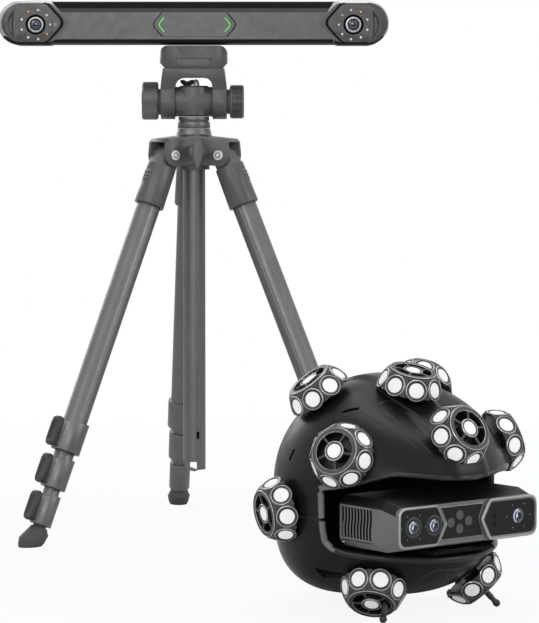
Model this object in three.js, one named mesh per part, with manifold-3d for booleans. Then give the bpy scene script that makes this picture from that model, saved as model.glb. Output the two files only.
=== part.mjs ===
// Optical tracking scanner set: a two-lens tracker bar on a pan and tilt head with a folding
// tripod, and a hand scanner inside a ball-shaped shell that carries ten marker drums.
// Millimetres, +Z up, the front of the tracker bar looks along -Y.
import * as THREE from 'three';
import { mergeVertices } from 'three/addons/utils/BufferGeometryUtils.js';
import Module from 'manifold-3d';

const wasm = await Module();
wasm.setup();

// Fits shared by every piece
const fit = 0.3;          // gap between seated pieces
const overrun = 3;        // how far a cutting shape runs past what it cuts
const weld = 0.0005;      // distance below which two vertices are one
const rounds = { coarse: 8, small: 12, medium: 16, large: 20 };

// Tripod crown and the way the legs stand
const stand = {
  legs: ['left', 'right', 'rear'],
  firstHeading: 216.6,    // degrees
  splay: 22.7,            // degrees from upright
  hingeHeight: 521,
  hingeRadius: 47,
};
const crown = {
  hubRadius: 24,
  hubRise: 28,
  hubDrop: 12,
  collarRadius: 21.5,
  collarDrop: 20,
  channelWidth: 33,
  cheek: 5,
  cheekRadius: 15,
  roofRise: 22.5,
  roofThickness: 4.5,
  roofSlope: 4,
  reach: 13,
  pinRadius: 4,
  pinHeadRadius: 5.7,
  pinHeadHeight: 2,
  pinRecess: 2.4,
  bossRadius: 11,
  bossReach: 48.5,
  bossRise: 4.5,
};
const columnLever = {
  width: 13,
  upper: 25,
  lower: 24,
  tipWidth: 4,
  thickness: 8,
  bevel: 1.6,
};
const column = {
  radius: 15.5,
  wall: 2,
  footHeight: 85,
  flangeRadius: 24.6,
  flangeTopRadius: 22.3,
  flangeHeight: 8,
  notchRise: 11,
  hookWidth: 7,
  slotWidth: 4,
  slotHeight: 10,
  slotRise: 48,
};

// One leg, measured down from its hinge
const shoulder = {
  eyeRadius: 12.5,
  sleeveTop: 17,
  sleeveLength: 57,
  topRadius: 19.8,
  rimRadius: 20.8,
  socketDepth: 44,
  padWidth: 17,
  padHeight: 22,
  padDepth: 1.2,
  padTop: 8,
  padRibs: 3,
  padRib: 2.4,
};
const tubes = {
  radii: [16.5, 13.7, 11.2, 9],
  wall: 1.6,
  grooveWidth: 2.6,
  grooveDepth: 0.9,
  headroom: 31.74633,     // from the shoulder's rim down to the second tube, slid home
};
const clamp = {
  length: 43,
  gap: 9,
  wall: 3.9,
  lip: 12,
  wave: 3,
  lugWidth: 17,
  lugHeight: 34,
  lugProud: 1.8,
};
const flip = {
  length: 41,
  width: 23,
  thickness: 7,
  bevel: 1.4,
  cornerRadius: 7,
  padLength: 27,
  padWidth: 13,
  padDepth: 1.1,
};
const foot = {
  height: 27,
  gap: 3,
  neckRadius: 11,
  soleLength: 42,
  soleWidth: 33,
  soleThickness: 13,
  soleUndercut: 4,
  toeReach: 4,
};

// Pan and tilt head
const panBase = {
  flangeRadius: 22.3,
  flangeHeight: 9,
  grooveRadius: 20,
  grooveHeight: 1.2,
  ringRadius: 21.2,
  ringHeight: 5.6,
};
const tilt = {
  barrelRadius: 20.5,
  barrelWidth: 51,
  capRadius: 21.5,
  capRise: 22,
  capBevel: 2.4,
  shaftRadius: 6,
};
const fork = {
  armWidth: 19.5,
  bossRadius: 24,
  bossBevel: 3,
  plateWidth: 84,
  plateDepth: 54,
  plateThickness: 13,
  plateRise: 46,
  archRadius: 12,
  waist: 38,
};
const lobedKnob = {
  radius: 27.5,
  waistRadius: 23,
  lobes: 5,
  length: 22,
  bevel: 2,
  discRadius: 18,
  discLength: 3.5,
};
const knurledKnob = {
  radius: 23,
  ridgeDepth: 0.8,
  ridges: 16,
  length: 19.5,
  bevel: 2,
  neckRadius: 17,
  neckLength: 4,
};
const release = {
  width: 93,
  depth: 58,
  height: 30.5,
  lobeRadius: 11,
  shoulderInset: 7,
  planRadius: 22,
  discRadius: 25,
  discInset: 1.2,
  discDrop: 17,
  buttonWidth: 47,
  buttonHeight: 11,
  buttonDepth: 10,
  buttonTravel: 3,
  buttonRise: 1.4,
};

// Tracker bar
const bar = {
  length: 535,
  height: 61,
  depth: 66,
  faceHeight: 32,
  faceChamfer: 5.5,
  faceChamferDepth: 3,
  flankDepth: 13,
  backInset: 7,
  backDepth: 9,
  endSides: 8,
};
const endCover = {
  tip: 84,
  shoulder: 62,
  depth: 20,
  rimInset: 3,
  rimDepth: 5,
  lensInset: 48.5,
  ringRadius: 13.8,
  ringDepth: 4,
  ledCount: 9,
  ledRadius: 1.75,
  ledCircle: 20,
  ledHeight: 0.7,
  crescentWidth: 5,
  crescentDepth: 2.2,
  crescentInset: 9,
};
const lens = {
  bezelRadius: 11,
  glassRadius: 7.9,
  glassCrown: 1.4,
  bezelDepth: 2.2,
};
const centreCover = {
  tip: 57,
  straight: 43.5,
  thickness: 3,
  tipRound: 9,
  lightTip: 52.5,
  lightEnd: 43,
  lightHalf: 9.3,
  lightWidth: 1.8,
  lightDepth: 0.6,
};

// Marker ball, standing on the floor beside the tripod
const ball = {
  east: 245,
  north: -620,
  turn: 38.5,             // degrees
  radius: 136,
  crownInset: 7,
  chinInset: 10,
  floorGap: 16,
  wall: 5,
  crownPower: 2.1,
  chinPower: 2.5,
  jawPower: 3.6,
  jawStart: 0.35,
  foreheadTilt: 60,       // degrees
  foreheadInset: 26,
  foreheadSoftness: 5,
  spineWidth: 30,
  spineHeight: 4,
  browHeight: 8,
  browDrop: 26,
  meridians: 28,
  parallels: 12,
  innerMeridians: 16,
  innerParallels: 8,
};
const mouth = {
  halfWidth: 133,
  browRise: 20,
  browCorner: 24,
  lipClearance: 2,
  lipSag: 4,
  back: 34,
  corner: 16,
};
const seam = { drop: 26 };
const rearOpening = {
  halfWidth: 74,
  top: 60,
  bottom: 62,
  corner: 26,
  front: 40,
};
const rearFoot = {
  radius: 9,
  tipRadius: 6,
  elevation: -60,         // degrees
};
const chinPeg = {
  radius: 3.6,
  tipRadius: 4.6,
  offset: 16,
};
const drum = {
  bossProud: 1.5,
  bossRadius: 13,
  bossLength: 12,
  stalkRadius: 9,
  stalkLength: 2.5,
  backReach: 36,
  frontReach: 27.4,
  ringWidth: 5.5,
  ringThickness: 3,
  height: 24,
  wall: 4,
  discs: 8,
  discRadius: 12.6,
  discDrop: 1.2,
  discThickness: 2.2,
  discSink: 1,
  spokes: 5,
  spokeWidth: 2.8,
  hubRadius: 12,
  dotRadius: 7.8,
  dotHeight: 0.8,
};
// Where each drum sits: bearing from the front and elevation, both in degrees
const drumPlaces = [
  { name: 'crown_drum', bearing: 0, elevation: 73 },
  { name: 'brow_drum', bearing: 0, elevation: 29.5 },
  { name: 'left_temple_drum', bearing: -64.5, elevation: 20 },
  { name: 'right_temple_drum', bearing: 64.5, elevation: 20 },
  { name: 'left_upper_drum', bearing: -112.5, elevation: 52 },
  { name: 'right_upper_drum', bearing: 112.5, elevation: 52 },
  { name: 'left_side_drum', bearing: -103, elevation: -8.5 },
  { name: 'right_side_drum', bearing: 103, elevation: -8.5 },
  { name: 'left_chin_drum', bearing: -51, elevation: -47.5 },
  { name: 'right_chin_drum', bearing: 51, elevation: -47.5 },
];

// Hand scanner held in the ball's mouth
const scanner = {
  width: 220,
  height: 59,
  depth: 107,
  offset: -5,
  faceReach: 146,
  centreDrop: 30,
  chamfer: 9,
  faceInset: 4,
  taper: 27,
  lidInset: 6,
  backInset: 8,
  grilleSlots: 10,
  grillePitch: 5.4,
  grilleSlot: 2.2,
  grilleHeight: 34,
  grilleDepth: 3,
  grilleStart: 46,
};
const plates = {
  halfHeight: 21,
  thickness: 3,
  leftEdge: -102,
  leftShoulder: -47.5,
  leftTip: -36.5,
  rightTip: 16,
  rightShoulder: 33,
  rightEdge: 101,
  lensRadius: 9.5,
  lensProud: 1.6,
  glassRadius: 6.4,
  glassSink: 1.2,
  leftLenses: [-84, -53],
  rightLenses: [76],
  squareSide: 5.5,
  squareDrop: 4.8,
  squareAt: 40,
  squareDepth: 0.8,
};
const keys = {
  centre: -11,
  sideways: 13,
  upward: 8.6,
  radius: 5,
  length: 4.5,
  proud: 1.2,
  travel: 1,
  crownInset: 0.9,
};
const cradle = {
  trayInset: 14,
  trayWidth: 92,
  trayDepth: 86,
  trayThickness: 4,
  postWidth: 34,
  postDepth: 46,
  gripDepth: 30,
  gripWidth: 34,
  gripHeight: 86,
  gripBehind: 66,
  bridge: 10,
  wallAt: 22,
  wallWidth: 204,
  wallThickness: 3,
  wallTop: 10,
};

// Colours and surface numbers, one per finish
const finishes = {
  castGrey: { color: '#56585b', roughness: 0.55, metalness: 0.4 },
  tubeGrey: { color: '#616367', roughness: 0.35, metalness: 0.8 },
  clampGrey: { color: '#505255', roughness: 0.6, metalness: 0.1 },
  bootRubber: { color: '#4a4b4c', roughness: 0.85, metalness: 0 },
  steel: { color: '#a7a9ac', roughness: 0.3, metalness: 0.9 },
  barDark: { color: '#2c2d2f', roughness: 0.4, metalness: 0.3 },
  faceGrey: { color: '#67696b', roughness: 0.35, metalness: 0.3 },
  shellBlack: { color: '#242527', roughness: 0.5, metalness: 0 },
  drumBlack: { color: '#333436', roughness: 0.45, metalness: 0.1 },
  scannerBlack: { color: '#1f2022', roughness: 0.35, metalness: 0.1 },
  lensGlass: { color: '#30343c', roughness: 0.1, metalness: 0.2 },
};

// Solids: join, cut and keep what two shapes share
function solidOf(geometry) {
  const bare = geometry.clone();
  for (const name of Object.keys(bare.attributes)) {
    if (name !== 'position') bare.deleteAttribute(name);
  }
  const merged = mergeVertices(bare, weld);
  return new wasm.Manifold(new wasm.Mesh({
    numProp: 3,
    vertProperties: new Float32Array(merged.attributes.position.array),
    triVerts: new Uint32Array(merged.index.array),
  }));
}

function geometryOf(solid) {
  const mesh = solid.getMesh();
  const geometry = new THREE.BufferGeometry();
  geometry.setAttribute('position', new THREE.BufferAttribute(new Float32Array(mesh.vertProperties), 3));
  geometry.setIndex(new THREE.BufferAttribute(new Uint32Array(mesh.triVerts), 1));
  return geometry;
}

function join(...geometries) {
  return geometryOf(geometries.map(solidOf).reduce((total, next) => total.add(next)));
}

function cut(body, ...tools) {
  return geometryOf(tools.map(solidOf).reduce((total, next) => total.subtract(next), solidOf(body)));
}

function shared(first, second) {
  return geometryOf(solidOf(first).intersect(solidOf(second)));
}

function facingOut(geometry) {
  const at = geometry.attributes.position;
  const index = geometry.index.array;
  const [a, b, c] = [new THREE.Vector3(), new THREE.Vector3(), new THREE.Vector3()];
  let volume = 0;
  for (let i = 0; i < index.length; i += 3) {
    a.fromBufferAttribute(at, index[i]);
    b.fromBufferAttribute(at, index[i + 1]);
    c.fromBufferAttribute(at, index[i + 2]);
    volume += a.dot(b.cross(c));
  }
  if (volume > 0) return geometry;
  for (let i = 0; i < index.length; i += 3) {
    [index[i + 1], index[i + 2]] = [index[i + 2], index[i + 1]];
  }
  return geometry;
}

// A round bar standing on its lower end, its top radius given where it tapers
function rod(radius, height, sides, topRadius = radius) {
  return new THREE.CylinderGeometry(topRadius, radius, height, sides)
    .rotateX(Math.PI / 2).translate(0, 0, height / 2);
}

// A cutting bar whose flats clear a round of the given radius
function bore(radius, length, sides) {
  return rod(radius / Math.cos(Math.PI / sides), length, sides);
}

// A turned solid from points [radius, height]; the profile starts and ends on the axis or closes
function turned(profile, sides) {
  const points = profile.map(([radius, height]) => new THREE.Vector2(radius, height));
  const lathe = new THREE.LatheGeometry(points, sides).rotateX(Math.PI / 2);
  const bare = new THREE.BufferGeometry();
  bare.setAttribute('position', lathe.attributes.position);
  bare.setIndex(lathe.index);
  return facingOut(tidy(mergeVertices(bare, weld)));
}

// Faces that a merged seam or pole left without area are dropped
function tidy(geometry) {
  const index = geometry.index.array;
  const kept = [];
  for (let i = 0; i < index.length; i += 3) {
    const [a, b, c] = [index[i], index[i + 1], index[i + 2]];
    if (a !== b && b !== c && c !== a) kept.push(a, b, c);
  }
  geometry.setIndex(kept);
  return geometry;
}

function outlineShape(points) {
  return new THREE.Shape(points.map(([x, y]) => new THREE.Vector2(x, y)));
}

// A rectangle with round corners, centred unless moved
function roundedRectangle(width, height, radius, x = 0, y = 0) {
  const [halfWidth, halfHeight] = [width / 2, height / 2];
  const shape = new THREE.Shape();
  shape.moveTo(x - halfWidth + radius, y - halfHeight);
  shape.lineTo(x + halfWidth - radius, y - halfHeight);
  shape.absarc(x + halfWidth - radius, y - halfHeight + radius, radius, -Math.PI / 2, 0);
  shape.lineTo(x + halfWidth, y + halfHeight - radius);
  shape.absarc(x + halfWidth - radius, y + halfHeight - radius, radius, 0, Math.PI / 2);
  shape.lineTo(x - halfWidth + radius, y + halfHeight);
  shape.absarc(x - halfWidth + radius, y + halfHeight - radius, radius, Math.PI / 2, Math.PI);
  shape.lineTo(x - halfWidth, y - halfHeight + radius);
  shape.absarc(x - halfWidth + radius, y - halfHeight + radius, radius, Math.PI, Math.PI * 1.5);
  return shape;
}

// A flat piece of the outline, from z = 0 up by its thickness, its edges bevelled where asked
function slab(shape, thickness, bevel = 0, curveSegments = 2) {
  const straight = thickness - 2 * bevel;
  const settings = {
    depth: straight,
    curveSegments,
    bevelEnabled: bevel > 0,
    bevelThickness: bevel,
    bevelSize: bevel,
    bevelOffset: -bevel,
    bevelSegments: 1,
  };
  return new THREE.ExtrudeGeometry(shape, settings).translate(0, 0, bevel);
}

// The same piece drawn in the XZ plane, with its outer face looking along -Y at y = 0
function frontSlab(shape, thickness, bevel = 0, curveSegments = 2) {
  return slab(shape, thickness, bevel, curveSegments).rotateX(Math.PI / 2).translate(0, thickness, 0);
}

// The same piece drawn in the YZ plane, thick along +X from x = 0
function sideSlab(shape, thickness, bevel = 0, curveSegments = 2) {
  return slab(shape, thickness, bevel, curveSegments).rotateZ(Math.PI / 2).rotateY(Math.PI / 2);
}

// A skin over closed rings of equal count, with fans across the first and the last
function loft(rings) {
  const count = rings[0].length;
  const positions = rings.flat().flatMap((point) => [point.x, point.y, point.z]);
  const faces = [];
  for (let ring = 0; ring + 1 < rings.length; ring += 1) {
    for (let i = 0; i < count; i += 1) {
      const next = (i + 1) % count;
      const [a, b] = [ring * count + i, ring * count + next];
      faces.push(a, b, b + count, a, b + count, a + count);
    }
  }
  const last = (rings.length - 1) * count;
  for (let i = 1; i + 1 < count; i += 1) {
    faces.push(0, i + 1, i);
    faces.push(last, last + i, last + i + 1);
  }
  const geometry = new THREE.BufferGeometry();
  geometry.setAttribute('position', new THREE.Float32BufferAttribute(positions, 3));
  geometry.setIndex(faces);
  return facingOut(geometry);
}

function box(width, depth, height, x = 0, y = 0, z = 0) {
  return new THREE.BoxGeometry(width, depth, height).translate(x, y, z);
}

function piece(name, geometry, finish) {
  const mesh = new THREE.Mesh(geometry, new THREE.MeshStandardMaterial(finishes[finish]));
  mesh.name = name;
  return mesh;
}

const radians = THREE.MathUtils.degToRad;
const model = new THREE.Group();

// Heights of the head, each standing on the one below
const hubTop = stand.hingeHeight + crown.hubRise;
const flangeBottom = hubTop + fit;
const flangeTop = flangeBottom + column.flangeHeight;
const panBottom = flangeTop + fit;
const panTop = panBottom + panBase.flangeHeight + panBase.grooveHeight + panBase.ringHeight;
const tiltAxis = panTop + fit + tilt.barrelRadius;
const forkTop = tiltAxis + fork.plateRise;
const releaseBottom = forkTop + fit;
const barBottom = releaseBottom + release.height + fit;
const barCentre = barBottom + bar.height / 2;

// Crown: hub, three channels with their hinge pins, and the boss of the column lock
function makeCrown() {
  const hub = turned([
    [0, stand.hingeHeight - crown.collarDrop],
    [crown.collarRadius, stand.hingeHeight - crown.collarDrop],
    [crown.collarRadius, stand.hingeHeight - crown.hubDrop],
    [crown.hubRadius, stand.hingeHeight - crown.hubDrop],
    [crown.hubRadius + crown.roofSlope, stand.hingeHeight + crown.roofRise],
    [crown.hubRadius, hubTop],
    [0, hubTop],
  ], rounds.large);
  const castings = [hub];
  const channels = [];
  const pins = [];
  stand.legs.forEach((leg, i) => {
    const heading = radians(stand.firstHeading + i * 360 / stand.legs.length);
    const outer = crown.channelWidth + 2 * crown.cheek;
    const profile = new THREE.Shape();
    profile.moveTo(0, -crown.hubDrop);
    profile.lineTo(stand.hingeRadius, -crown.cheekRadius);
    profile.absarc(stand.hingeRadius, 0, crown.cheekRadius, -Math.PI / 2, 0);
    profile.lineTo(stand.hingeRadius + crown.reach, crown.roofRise - crown.roofSlope);
    profile.lineTo(stand.hingeRadius + crown.reach - crown.roofSlope, crown.roofRise);
    profile.lineTo(0, crown.hubRise);
    const block = slab(profile, outer, 0, 2).rotateX(Math.PI / 2)
      .translate(0, outer / 2, stand.hingeHeight);
    const channelStart = crown.hubRadius + overrun;
    const channelLength = stand.hingeRadius;
    const channelTop = crown.roofRise - crown.roofThickness;
    const channelHeight = channelTop + crown.collarDrop + overrun;
    const channel = box(channelLength, crown.channelWidth, channelHeight,
      channelStart + channelLength / 2, 0,
      stand.hingeHeight + channelTop - channelHeight / 2);
    const pin = rod(crown.pinRadius, outer, rounds.coarse)
      .rotateX(Math.PI / 2).translate(stand.hingeRadius, outer / 2, stand.hingeHeight);
    const heads = [-1, 1].map((side) => {
      const head = cut(
        rod(crown.pinHeadRadius, crown.pinHeadHeight * 2, rounds.coarse).translate(0, 0, -crown.pinHeadHeight),
        rod(crown.pinRecess, overrun, rounds.coarse / 2),
      );
      return head.rotateX(-side * Math.PI / 2)
        .translate(stand.hingeRadius, side * outer / 2, stand.hingeHeight);
    });
    castings.push(block.rotateZ(heading));
    channels.push(channel.rotateZ(heading));
    pins.push(pin.rotateZ(heading), ...heads.map((head) => head.rotateZ(heading)));
  });
  const frontHeading = radians(stand.firstHeading + 180 / stand.legs.length);
  const boss = rod(crown.bossRadius, crown.bossReach, rounds.small)
    .rotateY(Math.PI / 2).translate(0, 0, stand.hingeHeight + crown.bossRise).rotateZ(frontHeading);
  const through = bore(column.radius + fit, crown.hubRise + crown.collarDrop + 2 * overrun, rounds.large)
    .translate(0, 0, stand.hingeHeight - crown.collarDrop - overrun);
  return cut(join(cut(join(...castings), ...channels), ...pins, boss), through);
}

function makeColumnLever() {
  const shape = new THREE.Shape();
  const [half, tip] = [columnLever.width / 2, columnLever.tipWidth / 2];
  shape.moveTo(-tip, columnLever.upper);
  shape.bezierCurveTo(-half, columnLever.upper / 2, -half, half, -half, 0);
  shape.bezierCurveTo(-half, -half, -half, -columnLever.lower / 2, 0, -columnLever.lower);
  shape.bezierCurveTo(half, -columnLever.lower / 2, half, -half, half, 0);
  shape.bezierCurveTo(half, half, half, columnLever.upper / 2, tip, columnLever.upper);
  return frontSlab(shape, columnLever.thickness, columnLever.bevel, 5)
    .translate(0, -columnLever.thickness, 0);
}

// Column: a tube with the pan flange on top and a hook left by the notch in its lower end
function makeColumn() {
  const inner = column.radius - column.wall;
  const tube = turned([
    [inner, column.footHeight],
    [column.radius, column.footHeight],
    [column.radius, flangeBottom],
    [column.flangeRadius, flangeBottom],
    [column.flangeTopRadius, flangeTop],
    [0, flangeTop],
    [0, flangeBottom],
    [inner, flangeBottom],
    [inner, column.footHeight],
  ], rounds.large);
  const notch = box(2 * column.radius, 2 * column.radius + overrun, column.notchRise + overrun,
    -column.radius + column.hookWidth / 2, 0, column.footHeight + (column.notchRise - overrun) / 2);
  const hookShape = new THREE.Shape();
  hookShape.moveTo(-column.radius + column.wall, column.notchRise + column.wall);
  hookShape.absarc(0, column.notchRise, column.radius - column.wall / 2, Math.PI, Math.PI * 1.5);
  hookShape.lineTo(column.hookWidth, -column.radius + column.notchRise + column.wall * 2);
  hookShape.lineTo(0, -column.radius + column.notchRise + column.wall * 2);
  hookShape.absarc(0, column.notchRise, column.radius - column.wall * 2.5, -Math.PI / 2, -Math.PI, true);
  const hook = frontSlab(hookShape, column.hookWidth).translate(0, -column.hookWidth / 2, column.footHeight);
  const slot = box(column.slotWidth, column.radius * 2, column.slotHeight,
    column.radius / 3, -column.radius - column.wall, column.footHeight + column.slotRise);
  return join(cut(tube, notch, slot), hook);
}

// Leg pieces, drawn hanging down from the hinge at the origin, with +X outward
const floorReach = stand.hingeHeight / Math.cos(radians(stand.splay));
const clampPitch = clamp.length + clamp.gap;
const firstClampTop = floorReach - foot.height - foot.gap - 3 * clamp.length - 2 * clamp.gap;
const clampTops = [0, 1, 2].map((i) => firstClampTop + i * clampPitch);
const shoulderRim = shoulder.sleeveTop + shoulder.sleeveLength;
const tubeTops = [
  shoulderRim - shoulder.socketDepth + fit,
  ...clampTops.map((top, i) => shoulderRim + tubes.headroom + i * clampPitch),
];

function makeShoulder() {
  const width = crown.channelWidth - 2 * fit;
  const eye = rod(shoulder.eyeRadius, width, rounds.medium).rotateX(Math.PI / 2).translate(0, width / 2, 0);
  const neck = box(2 * shoulder.eyeRadius, width, shoulder.sleeveTop + overrun,
    0, 0, -(shoulder.sleeveTop + overrun) / 2);
  const sleeve = rod(shoulder.rimRadius, shoulder.sleeveLength, rounds.medium, shoulder.topRadius)
    .translate(0, 0, -shoulderRim);
  const pinHole = bore(crown.pinRadius + fit, width + 2 * overrun, rounds.coarse)
    .rotateX(Math.PI / 2).translate(0, width / 2 + overrun, 0);
  const socket = bore(tubes.radii[0] + fit, shoulder.socketDepth + overrun, rounds.medium)
    .translate(0, 0, -shoulderRim - overrun);
  const padCentre = -shoulder.sleeveTop - shoulder.padTop - shoulder.padHeight / 2;
  const pad = box(2 * shoulder.padDepth, shoulder.padWidth, shoulder.padHeight,
    shoulder.topRadius, 0, padCentre);
  const ribs = Array.from({ length: shoulder.padRibs }, (unused, i) => box(
    shoulder.padDepth * 3 / 2, shoulder.padWidth - shoulder.padRib, shoulder.padRib,
    shoulder.topRadius - shoulder.padDepth * 3 / 4, 0,
    padCentre + (i - (shoulder.padRibs - 1) / 2) * 2 * shoulder.padRib,
  ));
  const casting = cut(join(eye, neck, sleeve), pad, pinHole, socket);
  return join(casting, ...ribs);
}

// One telescoping section: a grooved tube with the clamp for the next section on its lower end
function makeSection(i) {
  const radius = tubes.radii[i];
  const bottom = clampTops[i] + clamp.length;
  const length = bottom - clamp.lip - tubeTops[i];
  const tube = rod(radius, length, rounds.medium).translate(0, 0, -tubeTops[i] - length);
  const inside = rod(radius - tubes.wall, length + 2 * overrun, rounds.medium)
    .translate(0, 0, -tubeTops[i] - length - overrun);
  const grooves = [-1, 1].map((side) => box(tubes.grooveWidth, 2 * tubes.grooveDepth,
    clampTops[i] - tubeTops[i] + overrun, 0, side * radius,
    -tubeTops[i] - (clampTops[i] - tubeTops[i] - overrun) / 2));
  const collarRadius = radius + clamp.wall;
  const collar = cut(
    rod(collarRadius, clamp.length, rounds.medium).translate(0, 0, -bottom),
    box(2 * collarRadius + overrun, 2 * collarRadius + overrun, 2 * clamp.wave)
      .rotateY(Math.atan2(clamp.wave, collarRadius)).translate(0, 0, -clampTops[i] + clamp.wave / 2),
  );
  const lug = box(clamp.lugProud + clamp.wall, clamp.lugWidth, clamp.lugHeight,
    collarRadius - clamp.wall / 2 + clamp.lugProud / 2, 0, -bottom + clamp.length / 2);
  const nextHole = bore(tubes.radii[i + 1] + fit, clamp.length, rounds.medium)
    .translate(0, 0, -bottom - clamp.length + clamp.lip + overrun);
  const grooved = i === 0 ? cut(tube, ...grooves) : tube;
  return cut(join(grooved, collar, lug), inside, nextHole);
}

// Flip lever lying on the lug, hinged along the leg at one edge
function makeFlipLever(i) {
  const plate = slab(roundedRectangle(flip.width, flip.length, flip.cornerRadius),
    flip.thickness, flip.bevel, 1);
  const pocket = slab(roundedRectangle(flip.padWidth, flip.padLength, flip.padWidth / 2 - flip.bevel),
    flip.thickness, 0, 1).translate(0, 0, flip.thickness - flip.padDepth);
  const face = tubes.radii[i] + clamp.wall + clamp.lugProud + fit;
  return cut(plate, pocket).rotateZ(Math.PI / 2).rotateY(Math.PI / 2)
    .translate(face, 0, -clampTops[i] - clamp.length / 2);
}

// Lowest section with its boot: the sole lies level on the floor and leads outward
function makeLowestSection() {
  const radius = tubes.radii[3];
  const neckTop = floorReach - foot.height;
  const length = neckTop + overrun - tubeTops[3];
  const tube = rod(radius, length, rounds.medium).translate(0, 0, -tubeTops[3] - length);
  const sides = rounds.large;
  const turn = radians(stand.splay);
  const flare = foot.neckRadius + foot.soleUndercut / 2;
  const ring = (centreZ, halfX, halfY, shiftX, level) => Array.from({ length: sides }, (unused, k) => {
    const angle = 2 * Math.PI * k / sides;
    const point = new THREE.Vector3(halfX * Math.cos(angle) + shiftX, halfY * Math.sin(angle), 0);
    if (level) point.applyAxisAngle(new THREE.Vector3(0, 1, 0), turn);
    point.z += centreZ;
    return point;
  });
  // Along the upright, a height above the floor is longer by the leaning of the leg
  const soleTop = -floorReach + foot.soleThickness / Math.cos(turn);
  const soleMid = -floorReach + foot.soleUndercut / Math.cos(turn);
  const [halfLength, halfWidth] = [foot.soleLength / 2, foot.soleWidth / 2];
  const boot = loft([
    ring(-neckTop, foot.neckRadius, foot.neckRadius, 0, false),
    ring(-neckTop - foot.soleUndercut, flare, flare, 0, false),
    ring(soleTop, halfLength, halfWidth, foot.toeReach, true),
    ring(soleMid, halfLength - foot.soleUndercut / 2, halfWidth - foot.soleUndercut / 2, foot.toeReach, true),
    ring(-floorReach, halfLength - foot.soleUndercut, halfWidth - foot.soleUndercut, foot.toeReach, true),
  ]);
  return join(tube, boot);
}

function addTripod() {
  model.add(piece('leg_crown', makeCrown(), 'castGrey'));
  model.add(piece('centre_column', makeColumn(), 'tubeGrey'));
  const lever = piece('column_lever', makeColumnLever(), 'castGrey');
  const frontHeading = radians(stand.firstHeading + 180 / stand.legs.length);
  const leverHolder = new THREE.Group();
  lever.position.set(0, -crown.bossReach - fit, stand.hingeHeight + crown.bossRise);
  leverHolder.rotation.z = frontHeading + Math.PI / 2;
  leverHolder.add(lever);
  model.add(leverHolder);

  const shoulderShape = makeShoulder();
  const sections = [0, 1, 2].map(makeSection);
  const levers = [0, 1, 2].map(makeFlipLever);
  const lowest = makeLowestSection();
  stand.legs.forEach((leg, i) => {
    const turntable = new THREE.Group();
    turntable.rotation.z = radians(stand.firstHeading + i * 360 / stand.legs.length);
    const hanging = new THREE.Group();
    hanging.position.set(stand.hingeRadius, 0, stand.hingeHeight);
    hanging.rotation.y = -radians(stand.splay);
    hanging.add(piece(`${leg}_leg_shoulder`, shoulderShape, 'castGrey'));
    sections.forEach((section, k) => hanging.add(piece(`${leg}_leg_section_${k + 1}`, section, 'tubeGrey')));
    levers.forEach((flipLever, k) => hanging.add(piece(`${leg}_leg_lever_${k + 1}`, flipLever, 'clampGrey')));
    hanging.add(piece(`${leg}_leg_section_4`, lowest, 'bootRubber'));
    turntable.add(hanging);
    model.add(turntable);
  });
}

// Pan base: flange, groove and bright ring
function makePanBase() {
  const grooveTop = panBottom + panBase.flangeHeight + panBase.grooveHeight;
  return turned([
    [0, panBottom],
    [panBase.flangeRadius, panBottom],
    [panBase.flangeRadius, panBottom + panBase.flangeHeight],
    [panBase.grooveRadius, panBottom + panBase.flangeHeight],
    [panBase.grooveRadius, grooveTop],
    [panBase.ringRadius, grooveTop],
    [panBase.ringRadius, panTop],
    [0, panTop],
  ], rounds.large);
}

// Tilt body: a level barrel crossed by an upright cap, with the tilt shaft through it
function makeTiltBody() {
  const half = tilt.barrelWidth / 2;
  const barrel = rod(tilt.barrelRadius, tilt.barrelWidth, rounds.large)
    .rotateY(Math.PI / 2).translate(-half, 0, tiltAxis);
  const post = turned([
    [0, panTop + fit],
    [tilt.barrelRadius - tilt.capBevel, panTop + fit],
    [tilt.barrelRadius, panTop + fit + tilt.capBevel],
    [tilt.capRadius, tiltAxis + tilt.capRise - tilt.capBevel],
    [tilt.capRadius - tilt.capBevel, tiltAxis + tilt.capRise],
    [0, tiltAxis + tilt.capRise],
  ], rounds.large);
  const shaftLength = tilt.barrelWidth + 2 * (fork.armWidth + knurledKnob.neckLength + fit * 2);
  const shaft = rod(tilt.shaftRadius, shaftLength, rounds.small)
    .rotateY(Math.PI / 2).translate(-shaftLength / 2, 0, tiltAxis);
  return join(barrel, post, shaft);
}

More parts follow.
